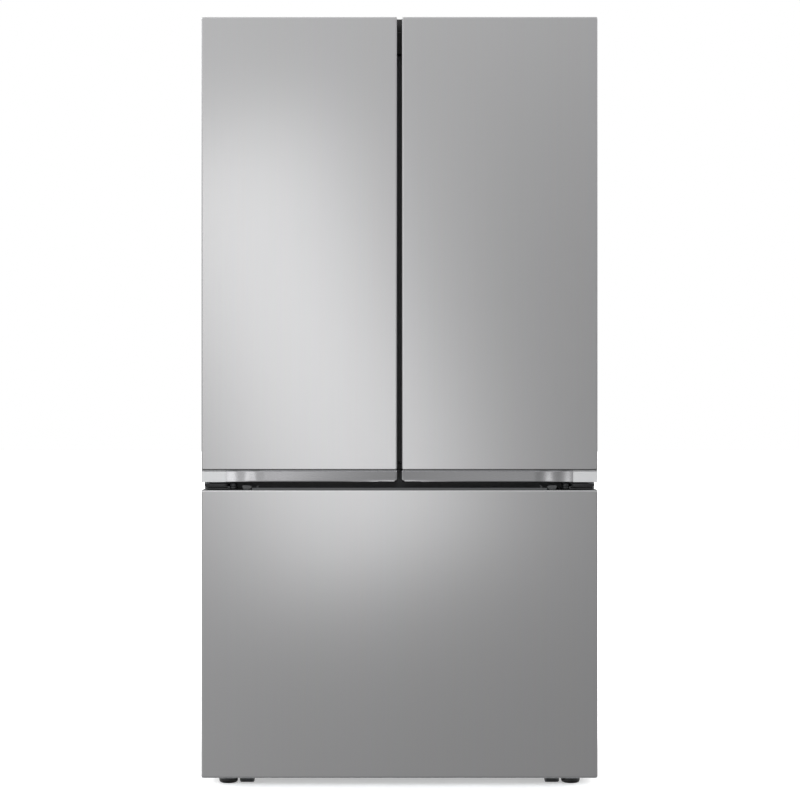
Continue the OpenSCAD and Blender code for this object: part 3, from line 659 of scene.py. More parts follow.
# trims under the doors: a flat silver painted end cap, then bright metal that ripples where it was drawn and
# leans back more and more towards the middle; a slanted ledge fills the groove above
trim = dict(cap=0.056, blend=0.090, lean=(0.0021, 0.0046), wave=0.0011, rise=0.0009, groove=0.0038,
            corner=0.0060, spread=0.0012)
for name, side in doors.items():
    lo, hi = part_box(name + "_trim")
    outer, inner = (lo.x, hi.x) if side < 0 else (hi.x, lo.x)
    outer, inner = outer + side * trim["spread"], inner - side * trim["spread"]
    length, corner = abs(inner - outer), trim["corner"]
    blendEnd = trim["cap"] + trim["blend"]
    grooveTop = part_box(name + "_panel")[0].z - 0.0002

    def trimSection(s):
        # the outline at a distance from the outer end
        t = (s - trim["cap"]) / trim["blend"]
        along = min(max((s - blendEnd) / (length - blendEnd), 0), 1)
        lean = (trim["lean"][0] + (trim["lean"][1] - trim["lean"][0]) * along) * smooth(t)
        wave = trim["wave"] * (1 - math.cos(math.pi * 4 * t)) / 2 if 0 < t < 1 else 0
        near, far = corner - min(s, corner), max(s - length + corner, 0)
        rise = 2 * corner - math.sqrt(corner ** 2 - near ** 2) - math.sqrt(max(corner ** 2 - far ** 2, 0))
        rise = max(rise, trim["rise"] * smooth(t))
        back = max(0.0008 - s, 0) + max(s - length + 0.0005, 0) + wave
        z0, z1 = lo.z + rise, hi.z
        ledge = [(hi.y, grooveTop), (lo.y + trim["groove"] - 0.0010, grooveTop), (lo.y + trim["groove"], z1)]
        section = [(lo.y + 0.0003, z1), (lo.y, z1 - 0.0003)]
        section += [(lo.y + lean * k / 9, z1 - 0.0003 - (z1 - z0 - 0.0011) * k / 9) for k in range(1, 9)]
        section += [(lo.y + lean, z0 + 0.0008), (lo.y + lean + 0.0003, z0 + 0.0002),
                    (lo.y + lean + 0.0008, z0), (hi.y, z0)]
        section = ledge + [(min(y + back, hi.y), z) for y, z in section]
        return [(outer - side * s, y, z) for y, z in section]

    capStations = [corner * (1 - math.cos(math.radians(a))) for a in range(0, 91, 15)]
    capStations += [trim["cap"] * 0.6, trim["cap"] - 0.0001]
    stations = [trim["cap"] + trim["blend"] * i / 32 for i in range(33)]
    stations += [blendEnd + (length - corner - blendEnd) * i / 8 for i in range(1, 9)]
    stations += [length - corner * (1 - math.sin(math.radians(a))) for a in range(15, 91, 15)]
    for part, places, material, nodes in (("_grip_trim", stations, brightTrim, [name + "_trim"]),
                                          ("_trim_cap", capStations, silverPaint, [])):
        bm = bmesh.new()
        loft(bm, [trimSection(s) for s in places])
        place(evenShading(meshObject(name + part, bm, 45)), name, material, nodes)
print("outer skins made")


# gives a CAD node that keeps its mesh its finish
def finishNode(node, material):
    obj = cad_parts[node]
    obj.data.materials.clear()
    obj.data.materials.append(material)


def growOn(name, tree, values, points, body, material, nodes=(), edges=(), smoothAngle=35):
    values = dict(values, Finish=material)
    return place(grow(name, tree, values, points, edges, smoothAngle), body, material, nodes)


# a thin sheet in the XZ plane with pressed beads, pushed away from its outer face
def pressedSheet(bm, rect, y, thickness, beads, depth, blend):
    x0, x1, z0, z1 = rect
    ease = [blend * i / 4 for i in range(5)]
    xs, zs = [sorted({first, last, *(round(b[i] + e, 6) for b in beads for e in ease),
                      *(round(b[i + 1] - e, 6) for b in beads for e in ease)})
              for i, first, last in ((0, x0, x1), (2, z0, z1))]

    def push(x, z):
        best = 0
        for b in beads:
            best = max(best, smooth(min(x - b[0], b[1] - x, z - b[2], b[3] - z) / blend))
        return y - depth * best

    layers = [[[bm.verts.new((x, push(x, z) - back, z)) for z in zs] for x in xs] for back in (0, thickness)]
    last = (len(xs) - 1, len(zs) - 1)
    for grid in layers:
        for i in range(last[0]):
            for j in range(last[1]):
                bm.faces.new((grid[i][j], grid[i + 1][j], grid[i + 1][j + 1], grid[i][j + 1]))
    outer, inner = layers
    for i in range(last[0]):
        for j in (0, last[1]):
            bm.faces.new((outer[i][j], outer[i + 1][j], inner[i + 1][j], inner[i][j]))
    for j in range(last[1]):
        for i in (0, last[0]):
            bm.faces.new((outer[i][j], outer[i][j + 1], inner[i][j + 1], inner[i][j]))


# door caps, cores and seals
for name in doors:
    softened(name + "_caps", name, blackAbs, 0.0008, 2)
    finishNode(name + "_core", foam)
finishNode("drawer_core", foam)
softened("drawer_handle", "freezer_drawer", greyAbs, 0.0011, 3)

seal = dict(width=0.020, corner=0.012)
for node, body in (("left_door_gasket", "left_door"), ("right_door_gasket", "right_door"),
                   ("drawer_gasket", "freezer_drawer")):
    lo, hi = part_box(node)
    thick = hi.y - lo.y
    # the section: a magnet pocket with a bellows behind it
    width = seal["width"]
    half = [(0.0030, 0.0016), (0.0010, 0.0030), (0.0050, 0.0046), (0.0010, 0.0062), (0, 0.0078),
            (0, thick - 0.0008), (0.0008, thick)]
    section = [(0.0030, 0), (0.0170, 0)] + [(width - u, v) for u, v in half] + half[::-1]
    points = [(u - width / 2, thick - v, 0) for u, v in section]
    edges = [(i, (i + 1) % len(points)) for i in range(len(points))]
    values = {"Width": hi.x - lo.x - width, "Height": hi.z - lo.z - width,
              "Corner": seal["corner"], "Centre": ((lo.x + hi.x) / 2, hi.y, (lo.z + hi.z) / 2)}
    growOn(body + "_seal", seals, values, points, body, gasketPvc, [node], edges, 30)

# case: painted wrapper, its edges eased, with the flange's fold at the front
softened("cabinet_shell", "root", casePaint, 0.0012, 2)
# the foam follows the beads that are pressed into the rear panel
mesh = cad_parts["cabinet_foam"].data.copy()
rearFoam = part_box("cabinet_foam")[1].y
foamRelief = 0.003
for vertex in mesh.vertices:
    if vertex.co.y > rearFoam - 0.0005:
        vertex.co.y -= foamRelief
insulation = link(bpy.data.objects.new("case_insulation", mesh))
place(insulation, "root", foam, ["cabinet_foam"])
softened("centre_rail", "root", casePaint, 0.0008, 2)
softened("top_cover", "root", blackAbs, 0.0022, 4)
softened("base_frame", "root", hingePaint, 0.0007, 2)
# hinges and their pins
softened("upper_hinges", "root", hingePaint, 0.0008, 2)
softened("middle_hinges", "root", hingePaint, 0.0008, 2)
softened("hinge_pins", "root", zinc, 0.0007, 2)


# zinc plated screws; size: radius and height of the head, radius of its washer
def screwsAt(name, size, direction, spots, nodes=()):
    values = dict(zip(("Head Radius", "Head Height", "Washer Radius"), size), Direction=direction)
    growOn(name, screws, values, spots, "root", zinc, nodes)


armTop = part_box("upper_hinges")[1].z
upperSpots = [(s * x, y, armTop) for s in (-1, 1)
              for x, y in ((0.436, -0.255), (0.436, -0.217), (0.390, -0.236))]
screwsAt("upper_hinge_screws", (0.0050, 0.0045, 0.0064), (0, 0, 1), upperSpots, ["screws"])
screwsAt("middle_hinge_screws", (0.0038, 0.0028, 0.0050), (0, -1, 0),
         [(s * x, -0.283, 0.708) for s in (-1, 1) for x in (0.400, 0.438)])
print("doors, case and hinges made")

# rear panel: thin sheet with pressed beads and a row of screws round it
lo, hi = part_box("rear_panel")
rear = dict(depth=0.0022, thickness=0.0006, recess=0.0003, bead=0.022, blend=0.004, ease=0.0012)
beads = []
for z0, z1 in ((lo.z + 0.09, 0.72), (0.80, 1.20), (1.28, hi.z - 0.09)):
    for x in (-0.34, -0.17, 0.0, 0.17, 0.34):
        beads.append((x - rear["bead"] / 2, x + rear["bead"] / 2, z0, z1))
bm = bmesh.new()
pressedSheet(bm, (lo.x + rear["ease"], hi.x - rear["ease"], lo.z, hi.z - rear["ease"]), hi.y - rear["recess"],
             rear["thickness"], beads, rear["depth"], rear["blend"])
place(meshObject("rear_sheet", bm, 50), "root", galvanised, ["rear_panel"])
rearSpots = [(s * 0.443, hi.y - 0.0009, z) for s in (-1, 1) for z in (0.32, 0.61, 0.90, 1.19, 1.48, 1.735)]
rearSpots += [(x, hi.y - 0.0009, z) for x in (-0.30, -0.15, 0.0, 0.15, 0.30) for z in (1.735, 0.316)]
screwsAt("rear_panel_screws", (0.0032, 0.0009, 0.0050), (0, 1, 0), rearSpots)

# cover of the machine compartment: galvanised sheet with upright louvres whose blades lean inwards
lo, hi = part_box("machine_cover")
louvre = dict(first=-0.360, pitch=0.040, count=13, width=0.010, height=0.070, rows=(0.090, 0.185))
holes = []
for i in range(louvre["count"]):
    x = louvre["first"] + i * louvre["pitch"]
    holes += [(x - louvre["width"] / 2, x + louvre["width"] / 2, z, z + louvre["height"])
              for z in louvre["rows"]]
bm = bmesh.new()
plateWithHoles(bm, (lo.x, hi.x, lo.z, hi.z), hi.y - 0.001, hi.y, holes + [(0.349, 0.371, 0.099, 0.121)])
cover = roundedEdges(meshObject("machine_grille", bm), 0.0003, 1)
place(cover, "root", galvanised, ["machine_cover"])
starts = [(louvre["first"] - 0.0042, hi.y - 0.0045, z + louvre["height"] / 2) for z in louvre["rows"]]
growOn("machine_grille_blades", bars, {"Count": louvre["count"], "Step": (louvre["pitch"], 0, 0),
                                       "Size": (0.0008, 0.0075, louvre["height"] - 0.001),
                                       "Tilt": (0, 0, math.radians(-32))}, starts, "root", galvanised)
screwsAt("machine_cover_screws", (0.0030, 0.0004, 0.0046), (0, 1, 0),
         [(s * 0.440, hi.y - 0.0004, z) for s in (-1, 1) for z in (0.058, 0.17, 0.285)])
# cord inlet: a rubber grommet
lo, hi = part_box("cord_gland")
mid = ((lo.x + hi.x) / 2, lo.y, (lo.z + hi.z) / 2)
bm = bmesh.new()
steps = [(0.0046, 0), (0.0088, 0), (0.0098, 0.001), (0.0098, 0.0070), (0.0138, 0.0072), (0.0150, 0.0082),
         (0.0150, 0.0108), (0.0100, 0.0110), (0.0092, 0.0118), (0.0080, 0.0120), (0.0060, 0.0120),
         (0.0046, 0.0108)]
rings = [[(mid[0] + r * math.cos(t), mid[1] + h, mid[2] + r * math.sin(t)) for t in turns(40)]
         for r, h in steps + steps[:1]]
loft(bm, rings, (False, False))
place(meshObject("cord_inlet_grommet", bm), "root", blackAbs, ["cord_gland"])
# control board in its recess, behind the rear panel
finishNode("control_board", board)
print("rear side made")


# an inner liner: a thin plate and a raised ring, drawn up with a draft, over a soft crown and down into the
# plate with a fillet
def innerLiner(name, body, node, plate, ring, size, fold=()):
    bm = bmesh.new()
    shell(bm, plate, 0.004, [(0, doorBack - 0.003), (0, doorBack - 0.0008), (0.0008, doorBack)], facing)
    for block in fold:
        addBlock(bm, *block)
    w, d, r = size["width"], size["draft"], size["round"]
    top = doorBack + size["height"]
    crown = [(d + r * i, top - r + r * v) for i, v in ((0.08, 0.38), (0.3, 0.72), (0.62, 0.93), (1, 1))]
    profile = [(0, doorBack - 0.001), (0.0004, doorBack + 0.003), (d, top - r)] + crown
    profile += [(w - i, y) for i, y in crown[::-1]] + [(w - d, top - r), (w - 0.0008, doorBack + 0.006)]
    profile += [(w + 0.0015, doorBack + 0.002), (w + 0.005, doorBack + 0.0004)]
    shell(bm, ring, size["corner"], profile, facing, 8)
    place(evenShading(meshObject(name, bm, 40)), body, hips, [node])


doorLiner = dict(corner=0.030, draft=0.004, round=0.008, width=0.025, height=0.051, ringX=(0.055, 0.398),
                 ringZ=(0.760, 1.690), hookInset=0.0262, hookZ=(0.905, 1.175, 1.465))
for name, side in doors.items():
    lo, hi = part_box(name + "_core")
    x0, x1 = sorted(side * x for x in doorLiner["ringX"])
    innerLiner(name + "_inner_liner", name, name + "_liner", (lo.x + 0.0002, hi.x - 0.0002, lo.z, hi.z),
               (x0, x1, *doorLiner["ringZ"]), doorLiner)
    # the hooks that the bins hang on
    hooks = [(x, doorBack + 0.025, z) for z in doorLiner["hookZ"]
             for x in (x0 + doorLiner["hookInset"], x1 - doorLiner["hookInset"])]
    growOn(name + "_bin_hooks", bars,
           {"Count": 3, "Step": (0, 0.009, -0.012), "Size": (0.0022, 0.012, 0.008)},
           hooks, name, hips)

# the folding mullion, and the brackets on the left door that carry its pin
bracket = dict(pin=(-0.040, -0.269), reach=-0.0562, half=0.006, thick=0.008, pairs=(-0.0085, 0.0305),
               heights=(0.800, 1.222, 1.644))
px, py = bracket["pin"]
blockPiece("mullion_brackets",
           [(bracket["reach"], px + bracket["half"], py - bracket["half"], py + bracket["half"],
             z + dz, z + dz + bracket["thick"]) for z in bracket["heights"] for dz in bracket["pairs"]],
           "left_door", whiteAbs, 0.0012, 3)
softened("mullion", "mullion", greyAbs, 0.0014, 3)

# door bins: clear trays with a white rail that follows the outline over the front and side walls
bins = dict(wall=0.0028, radius=0.016, base=0.010, draft=0.004, rail=0.011,
            levels=((0.790, 0.920), (1.090, 1.190), (1.380, 1.480)))
for name in doors:
    lo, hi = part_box(name + "_bins")
    for i, (z0, z1) in enumerate(bins["levels"]):
        bm = bmesh.new()
        tub(bm, lo.x, hi.x, lo.y, hi.y - 0.001, z0, z1 - 0.0005, bins["wall"], bins["radius"], bins["base"],
            bins["draft"])
        place(meshObject("%s_bin_%d" % (name, i + 1), bm), name, clearPs, [name + "_bins"] if i == 0 else [])
        low = z1 - bins["rail"]
        rings = []
        for inset, z in ((0.0002, low), (-0.0008, low + 0.0012), (-0.0008, z1 - 0.0012), (0.0002, z1),
                         (0.0034, z1), (0.0044, z1 - 0.0012), (0.0044, low + 0.0012), (0.0034, low)):
            outline = roundedOutline(lo.x + 0.0008 + inset, hi.x - 0.0008 - inset, lo.y + 0.002 + inset,
                                     hi.y - 0.0008 - inset, bins["radius"] - inset)
            rings.append([(u, v, z) for u, v in outline])
        bm = bmesh.new()
        loft(bm, rings + rings[:1], (False, False))
        place(meshObject("%s_bin_rail_%d" % (name, i + 1), bm, 30), name, whiteAbs)
print("door insides made")

# the drawer front's liner, with a fold under its foam
drawerLiner = dict(corner=0.026, draft=0.003, round=0.006, width=0.022, height=0.028)
lo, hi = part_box("drawer_liner")
innerLiner("drawer_inner_liner", "freezer_drawer", "drawer_liner",
           (lo.x + 0.0012, hi.x - 0.0012, 0.0285, 0.648), (-0.380, 0.380, 0.124, 0.640), drawerLiner,
           [(lo.x + 0.0012, hi.x - 0.0012, front + 0.0014, doorBack - 0.002, 0.0284, 0.0306)])
print("drawer front made")


# a moulded compartment: an outline along Y and Z is swept across, its corners are rounded, and it gets a wall
# and a flat flange round its mouth
def cavity(name, node, outline, halfWidth, radius, wall, flange, mouth):
    bm = bmesh.new()
    left, right = [[bm.verts.new((x, y, z)) for y, z in outline] for x in (-halfWidth, halfWidth)]
    for i in range(len(outline)):
        j = (i + 1) % len(outline)
        bm.faces.new((left[i], left[j], right[j], right[i]))
    bm.faces.new(left)
    bm.faces.new(right[::-1])
    bmesh.ops.recalc_face_normals(bm, faces=bm.faces)
    mouthY = min(y for y, z in outline)
    openFace = [f for f in bm.faces if all(abs(v.co.y - mouthY) < 1e-6 for v in f.verts)]
    bmesh.ops.delete(bm, geom=openFace, context="FACES_ONLY")
    edges = [e for e in bm.edges if not e.is_boundary]
    bmesh.ops.bevel(bm, geom=edges, offset=radius, segments=5, affect="EDGES", profile=0.5,
                    clamp_overlap=True)
    bmesh.ops.recalc_face_normals(bm, faces=bm.faces)
    # the wall grows away from the room inside, so the rear face has to look back
    if max(bm.faces, key=lambda f: f.calc_center_median().y).normal.y < 0:
        bmesh.ops.reverse_faces(bm, faces=bm.faces)
    bmesh.ops.solidify(bm, geom=bm.faces[:], thickness=-wall)
    plateWithHoles(bm, flange, mouthY, mouthY + 0.001, [mouth])
    place(evenShading(meshObject(name, bm, 40)), "root", hips, [node])


lo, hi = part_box("fridge_liner")
liner = dict(wall=0.002, gap=0.0002, radius=0.018, halfWidth=0.411, rear=0.300, floor=0.742, ceiling=1.704)
wall = liner["wall"]
rear, floorZ, ceiling = liner["rear"] - wall, liner["floor"] + wall, liner["ceiling"] - wall
cavity("fridge_compartment", "fridge_liner",
       [(lo.y, floorZ), (rear, floorZ), (rear, ceiling), (lo.y, ceiling)],
       liner["halfWidth"] - wall, liner["radius"], wall - liner["gap"], (lo.x, hi.x, liner["floor"], hi.z),
       (-0.409, 0.409, 0.730, 1.702))
print("fridge compartment made")

# shelf ladders: galvanised channel with a row of slots
ladder = dict(places=(-0.392, -0.142, 0.142, 0.392), half=0.008, wall=0.0012, pitch=0.024, slotHeight=0.014,
              slotWidth=0.003)
lo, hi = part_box("shelf_tracks")
half, wall, slotHalf = ladder["half"], ladder["wall"], ladder["slotWidth"] / 2
bm = bmesh.new()
for x in ladder["places"]:
    holes = []
    z = lo.z + 0.012
    while z + ladder["slotHeight"] < hi.z - 0.008:
        holes.append((x - slotHalf, x + slotHalf, z, z + ladder["slotHeight"]))
        z += ladder["pitch"]
    plateWithHoles(bm, (x - half, x + half, lo.z, hi.z), lo.y, lo.y + wall, holes)
    addBlock(bm, x - half, x - half + wall, lo.y + wall, hi.y, lo.z, hi.z)
    addBlock(bm, x + half - wall, x + half, lo.y + wall, hi.y, lo.z, hi.z)
place(meshObject("shelf_ladders", bm), "root", galvanised, ["shelf_tracks"])

shelf = dict(y=(-0.135, 0.262), x=(0.004, 0.405), height=0.018, rim=0.014, corner=0.010,
             levels=(1.290, 1.490), coverLevels=(0.872, 1.092))


# a glass shelf: a clear plate in a white moulded rim, with a satin bar along the front
# size: how far the rim's foot is eased, the glass's seat below the top, and the bar's margins
def glassShelf(name, rimName, barName, node, x0, x1, z0, size, ribs=()):
    (y0, y1), z1, w = shelf["y"], z0 + shelf["height"], shelf["rim"]
    ease, seat, below, above = size
    rings = []
    for inset, z in ((0.0, z0 + 0.002), (ease, z0), (w - 0.002, z0), (w, z0 + 0.002), (w, z1 - seat),
                     (w - 0.004, z1 - 0.0045), (w - 0.004, z1 - 0.0008), (w - 0.006, z1), (0.002, z1),
                     (0.0, z1 - 0.002)):
        outline = roundedOutline(x0 + inset, x1 - inset, y0 + inset, y1 - inset,
                                 max(shelf["corner"] - inset, 0.001), 5)
        rings.append([(u, v, z) for u, v in outline])
    bm = bmesh.new()
    loft(bm, rings + rings[:1], (False, False))
    for rib in ribs:
        addBlock(bm, *rib)
    place(meshObject(name + rimName, bm, 30), "root", whiteAbs, [node] if node else [])
    hidden = w - 0.0035
    blockPiece(name + "_glass",
               [(x0 + hidden, x1 - hidden, y0 + hidden, y1 - hidden, z1 - 0.0044, z1 - 0.0006)],
               "root", glass, 0.0006, 2)
    blockPiece(name + barName, [(x0 + 0.006, x1 - 0.006, y0 - 0.0006, y0 + 0.0035, z0 + below, z1 - above)],
               "root", brightTrim, 0.0009, 2)


# four half-width shelves, each with two hooks behind
y0, y1 = shelf["y"]
for side in (-1, 1):
    for k, z0 in enumerate(shelf["levels"]):
        x0, x1 = sorted(side * x for x in shelf["x"])
        name = "shelf_%s_%d" % ("left" if side < 0 else "right", k + 1)
        glassShelf(name, "_rim", "_front_bar", "glass_shelves" if name == "shelf_left_1" else None,
                   x0, x1, z0, (0.0015, 0.0045, 0.003, 0.002))
        hooks = []
        for x in sorted(side * x for x in ladder["places"][2:]):
            hooks.append((x - 0.0015, x + 0.0015, y1 - 0.004, 0.2885, z0 - 0.004,
                          z0 + shelf["height"] - 0.001))
            hooks.append((x - 0.006, x + 0.006, y1 - 0.002, 0.2865, z0 + 0.006, z0 + 0.009))
        blockPiece(name + "_hooks", hooks, "root", zinc, 0.0005, 1)
# covers over the drawers: the same in full width, with a rib across the middle
for k, z0 in enumerate(shelf["coverLevels"]):
    w, z1 = shelf["rim"], z0 + shelf["height"]
    glassShelf("drawer_cover_%d" % (k + 1), "_frame", "_bar", "drawer_covers" if k == 0 else None,
               -shelf["x"][1], shelf["x"][1], z0, (0.002, 0.005, 0.0025, 0.0025),
               [(-0.007, 0.007, y0 + w - 0.001, y1 - w + 0.001, z0, z1 - 0.005)])

# crispers and the wide drawer: clear trays with a white grip along the top of the front
drawer = dict(y=(-0.135, 0.240), wall=0.003, corner=0.018, base=0.012, draft=0.006, dip=0.012, gripSteps=24)
drawers = (("crisper_left", ["crispers"], -0.400, -0.006, 0.898, 1.082, 0.11),
           ("crisper_right", [], 0.006, 0.400, 0.898, 1.082, 0.11),
           ("pantry", ["pantry_drawer"], -0.395, 0.395, 0.752, 0.864, 0.16))
y0, y1 = drawer["y"]
for name, nodes, x0, x1, z0, z1, grip in drawers:
    bm = bmesh.new()
    tub(bm, x0, x1, y0, y1, z0, z1, drawer["wall"], drawer["corner"], drawer["base"], drawer["draft"])
    place(meshObject(name + "_tray", bm), "root", clearPs, nodes)
    middle = (x0 + x1) / 2
    rings = []
    for i in range(drawer["gripSteps"] + 1):
        x = middle - grip + 2 * grip * i / drawer["gripSteps"]
        t = (x - middle) / grip
        dip = drawer["dip"] * (1 - t * t) ** 0.5 if abs(t) < 1 else 0
        rings.append([(x, y, z) for y, z in (
            (y0 + 0.0002, z1 - 0.0005), (y0 + 0.0085, z1 - 0.0005), (y0 + 0.0085, z1 - 0.006),
            (y0 + 0.0055, z1 - 0.009 - dip), (y0 + 0.0002, z1 - 0.014 - dip))])
    bm = bmesh.new()
    loft(bm, rings)
    place(meshObject(name + "_grip", bm, 30), "root", whiteAbs)

# humidity sliders with a ribbed thumb piece
for name in ("left", "right"):
    node, body = "humidity_slider_" + name, "humidity_" + name
    lo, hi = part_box(node)
    blockPiece("humidity_knob_" + name,
               [(lo.x, hi.x, hi.y - 0.0058, hi.y, lo.z, hi.z),
                (lo.x + 0.013, lo.x + 0.017, lo.y + 0.0004, hi.y - 0.005, lo.z, hi.z)],
               body, whiteAbs, 0.0009, 2, [node])
    growOn("humidity_ribs_" + name, bars,
           {"Count": 4, "Step": (0.0022, 0, 0), "Size": (0.0009, 0.0009, 0.009)},
           [(lo.x + x, hi.y - 0.0060, (lo.z + hi.z) / 2) for x in (0.0025, 0.0205)], body, greyAbs)

# air duct on the rear wall: a shallow moulded column with slotted vents
duct = dict(edge=0.012, corner=0.022, vents=4, first=0.930, pitch=0.190, x=(0.030, 0.100), slots=4,
            slotPitch=0.0035, slotHeight=0.0018)
lo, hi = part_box("air_duct")
profile = [(0.0, hi.y), (0.0, lo.y + duct["edge"])]
profile += [(i * 0.8 + 0.0005, lo.y + d) for i, d in quarter(duct["edge"], 5)][::-1]
bm = bmesh.new()
shell(bm, (lo.x, hi.x, lo.z, hi.z), duct["corner"], profile, facing)
column = meshObject("air_column", bm, 30)
vents = []
for i in range(duct["vents"]):
    for s in (-1, 1):
        x0, x1 = sorted(s * x for x in duct["x"])
        for k in range(duct["slots"]):
            z = duct["first"] + duct["pitch"] * i + duct["slotPitch"] * k
            vents.append((x0, x1, lo.y - 0.01, lo.y + 0.007, z, z + duct["slotHeight"]))
carve(column, vents)
place(evenShading(column), "root", hips, ["air_duct"])

# lamp: a lit cover in the ceiling, behind the reach of the folded mullion, and its surround
for name, rect, corner, profile, material, slot in (
        ("ceiling_lamp", (-0.13, 0.13, -0.168, -0.118), 0.010,
         [(0, 1.7019), (0, 1.6975), (0.0006, 1.6962), (0.0020, 1.6955)], lampCover, "clear_plastic"),
        ("ceiling_lamp_surround", (-0.138, 0.138, -0.176, -0.110), 0.014,
         [(0, 1.7021), (0, 1.6998), (0.0010, 1.6992), (0.0050, 1.6992)], whiteAbs, "liner_white")):
    bm = bmesh.new()
    shell(bm, rect, corner, profile, upright, 5)
    place(meshObject(name, bm), "root", material)
print("fridge inside made")


# freezer compartment with its hump over the machine compartment
lo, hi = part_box("freezer_liner")
liner = dict(wall=0.002, gap=0.0002, radius=0.014, halfWidth=0.403, rear=0.300, floor=0.106, ceiling=0.664,
             humpFront=0.097, humpTop=0.324)
wall = liner["wall"]
rear, floorZ, ceiling = liner["rear"] - wall, liner["floor"] + wall, liner["ceiling"] - wall
hump, humpTop = liner["humpFront"] - wall, liner["humpTop"] + wall
cavity("freezer_compartment", "freezer_liner",
       [(lo.y, floorZ), (hump, floorZ), (hump, humpTop), (rear, humpTop), (rear, ceiling), (lo.y, ceiling)],
       liner["halfWidth"] - wall, liner["radius"], wall - liner["gap"], (lo.x, hi.x, lo.z, hi.z),
       (-0.401, 0.401, 0.108, 0.700))

# telescopic slides: rolled channels, zinc plated
softened("slide_outer", "root", zinc, 0.0005, 2)
softened("slide_middle", "drawer_rails", zinc, 0.0009, 3)
softened("slide_inner", "freezer_drawer", zinc, 0.0008, 2)

# baskets: white moulded trays with ribbed ends and lips that rest on the slides
basket = dict(half=0.372, wall=0.003, radius=0.022, base=0.014, draft=0.004, ribPitch=0.030, ribSpan=0.66,
              ribShare=0.62, roll=0.0038)
for name, body, y0, y1, z0, z1 in (("lower_basket", "freezer_drawer", -0.260, 0.085, 0.120, 0.383),
                                   ("upper_basket", "upper_basket", -0.255, 0.095, 0.402, 0.516)):
    half, lip = basket["half"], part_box(name)[1].x
    bm = bmesh.new()
    tub(bm, -half, half, y0, y1, z0, z1, basket["wall"], basket["radius"], basket["base"], basket["draft"])
    for s in (-1, 1):
        x0, x1 = sorted((s * (half - 0.0015), s * lip))
        addBlock(bm, x0, x1, y0 + 0.020, y1 - 0.020, z1 - 0.003, z1 - 0.0004)
    tray = meshObject(name + "_tray", bm)
    roundedEdges(tray, 0.0009, 2, 50)
    place(tray, body, whiteAbs, [name])
    # ribs stand on the inside of the front and rear walls
    count = int(basket["ribSpan"] / basket["ribPitch"])
    first = -basket["ribPitch"] * (count - 1) / 2
    height = (z1 - z0) * basket["ribShare"]
    for label, y in (("front", y0 + 0.0072), ("rear", y1 - 0.0072)):
        growOn(name + "_ribs_" + label, bars, {"Count": count, "Step": (basket["ribPitch"], 0, 0),
                                               "Size": (0.0028, 0.0034, height)},
               [(first, y, z0 + 0.022 + height / 2)], body, whiteAbs)
    # a rolled front edge
    bm = bmesh.new()
    tube(bm, [(x, y0 + 0.0026, z1 - 0.0042) for x in (-0.346, 0.346)], basket["roll"], 16)
    place(meshObject(name + "_front_roll", bm), body, whiteAbs)

# evaporator cover, and a round wire guard in front of its fan
softened("evaporator_cover", "root", hips, 0.0008, 2)
guard = dict(rings=5, wire=0.0011, spoke=0.0012, reach=0.060, hub=0.010, height=0.580, proud=0.0012)
lo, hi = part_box("evaporator_cover")
guardY = lo.y - guard["proud"]
bm = bmesh.new()
for i in range(guard["rings"]):
    r = guard["reach"] * (i + 1) / guard["rings"] - 0.002
    rings = []
    for a in turns(48):
        p = Vector((r * math.cos(a), guardY, guard["height"] + r * math.sin(a)))
        out = Vector((p.x, 0, p.z - guard["height"])).normalized()
        rings.append([p + guard["wire"] * (math.cos(t) * out + math.sin(t) * Vector((0, 1, 0)))
                      for t in turns(6)])
    loft(bm, rings + rings[:1], (False, False))
for a in (45, 135, 225, 315):
    spoke = Vector((math.cos(math.radians(a)), 0, math.sin(math.radians(a))))
    centre = Vector((0, guardY, guard["height"]))
    tube(bm, [centre + spoke * guard["hub"], centre + spoke * guard["reach"]], guard["spoke"], 6)
place(meshObject("evaporator_fan_guard", bm), "root", whiteAbs)

# evaporator: aluminium fins on a serpentine tube
coil = dict(fins=66, finPitch=0.008, fin=0.0003, firstFin=-0.260, tube=0.004, reach=0.280, y=0.260,
            bend=0.0149, rows=(0.365, 0.395, 0.425, 0.455, 0.485))
lo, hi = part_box("evaporator")
growOn("evaporator_fins", bars, {"Count": coil["fins"], "Step": (coil["finPitch"], 0, 0),
                                 "Size": (coil["fin"], hi.y - lo.y, hi.z - lo.z)},
       [(coil["firstFin"], (lo.y + hi.y) / 2, (lo.z + hi.z) / 2)], "root", finStock, ["evaporator"])


# the way of a tube that runs back and forth, one row after the other
def serpentine(x0, x1, y, rows):
    path = []
    for k, z in enumerate(rows):
        path += [(x, y, z) for x in ((x0, x1) if k % 2 == 0 else (x1, x0))]
    return path


bm = bmesh.new()
tube(bm, serpentine(-coil["reach"], coil["reach"], coil["y"], coil["rows"]), coil["tube"], 10, coil["bend"])
place(meshObject("evaporator_tube", bm), "root", finStock)


# a moulded fan: a domed hub and swept blades with some twist, drawn on an axis
blade = dict(stations=9, pitch=(46, 18), sweep=0.35, thick=0.0011, camber=0.05,
             outline=((-0.5, -0.25), (-0.25, -0.9), (0.1, -1.0), (0.4, -0.6), (0.5, 0.2), (0.4, 0.8),
                      (0.1, 1.0), (-0.25, 0.9)))


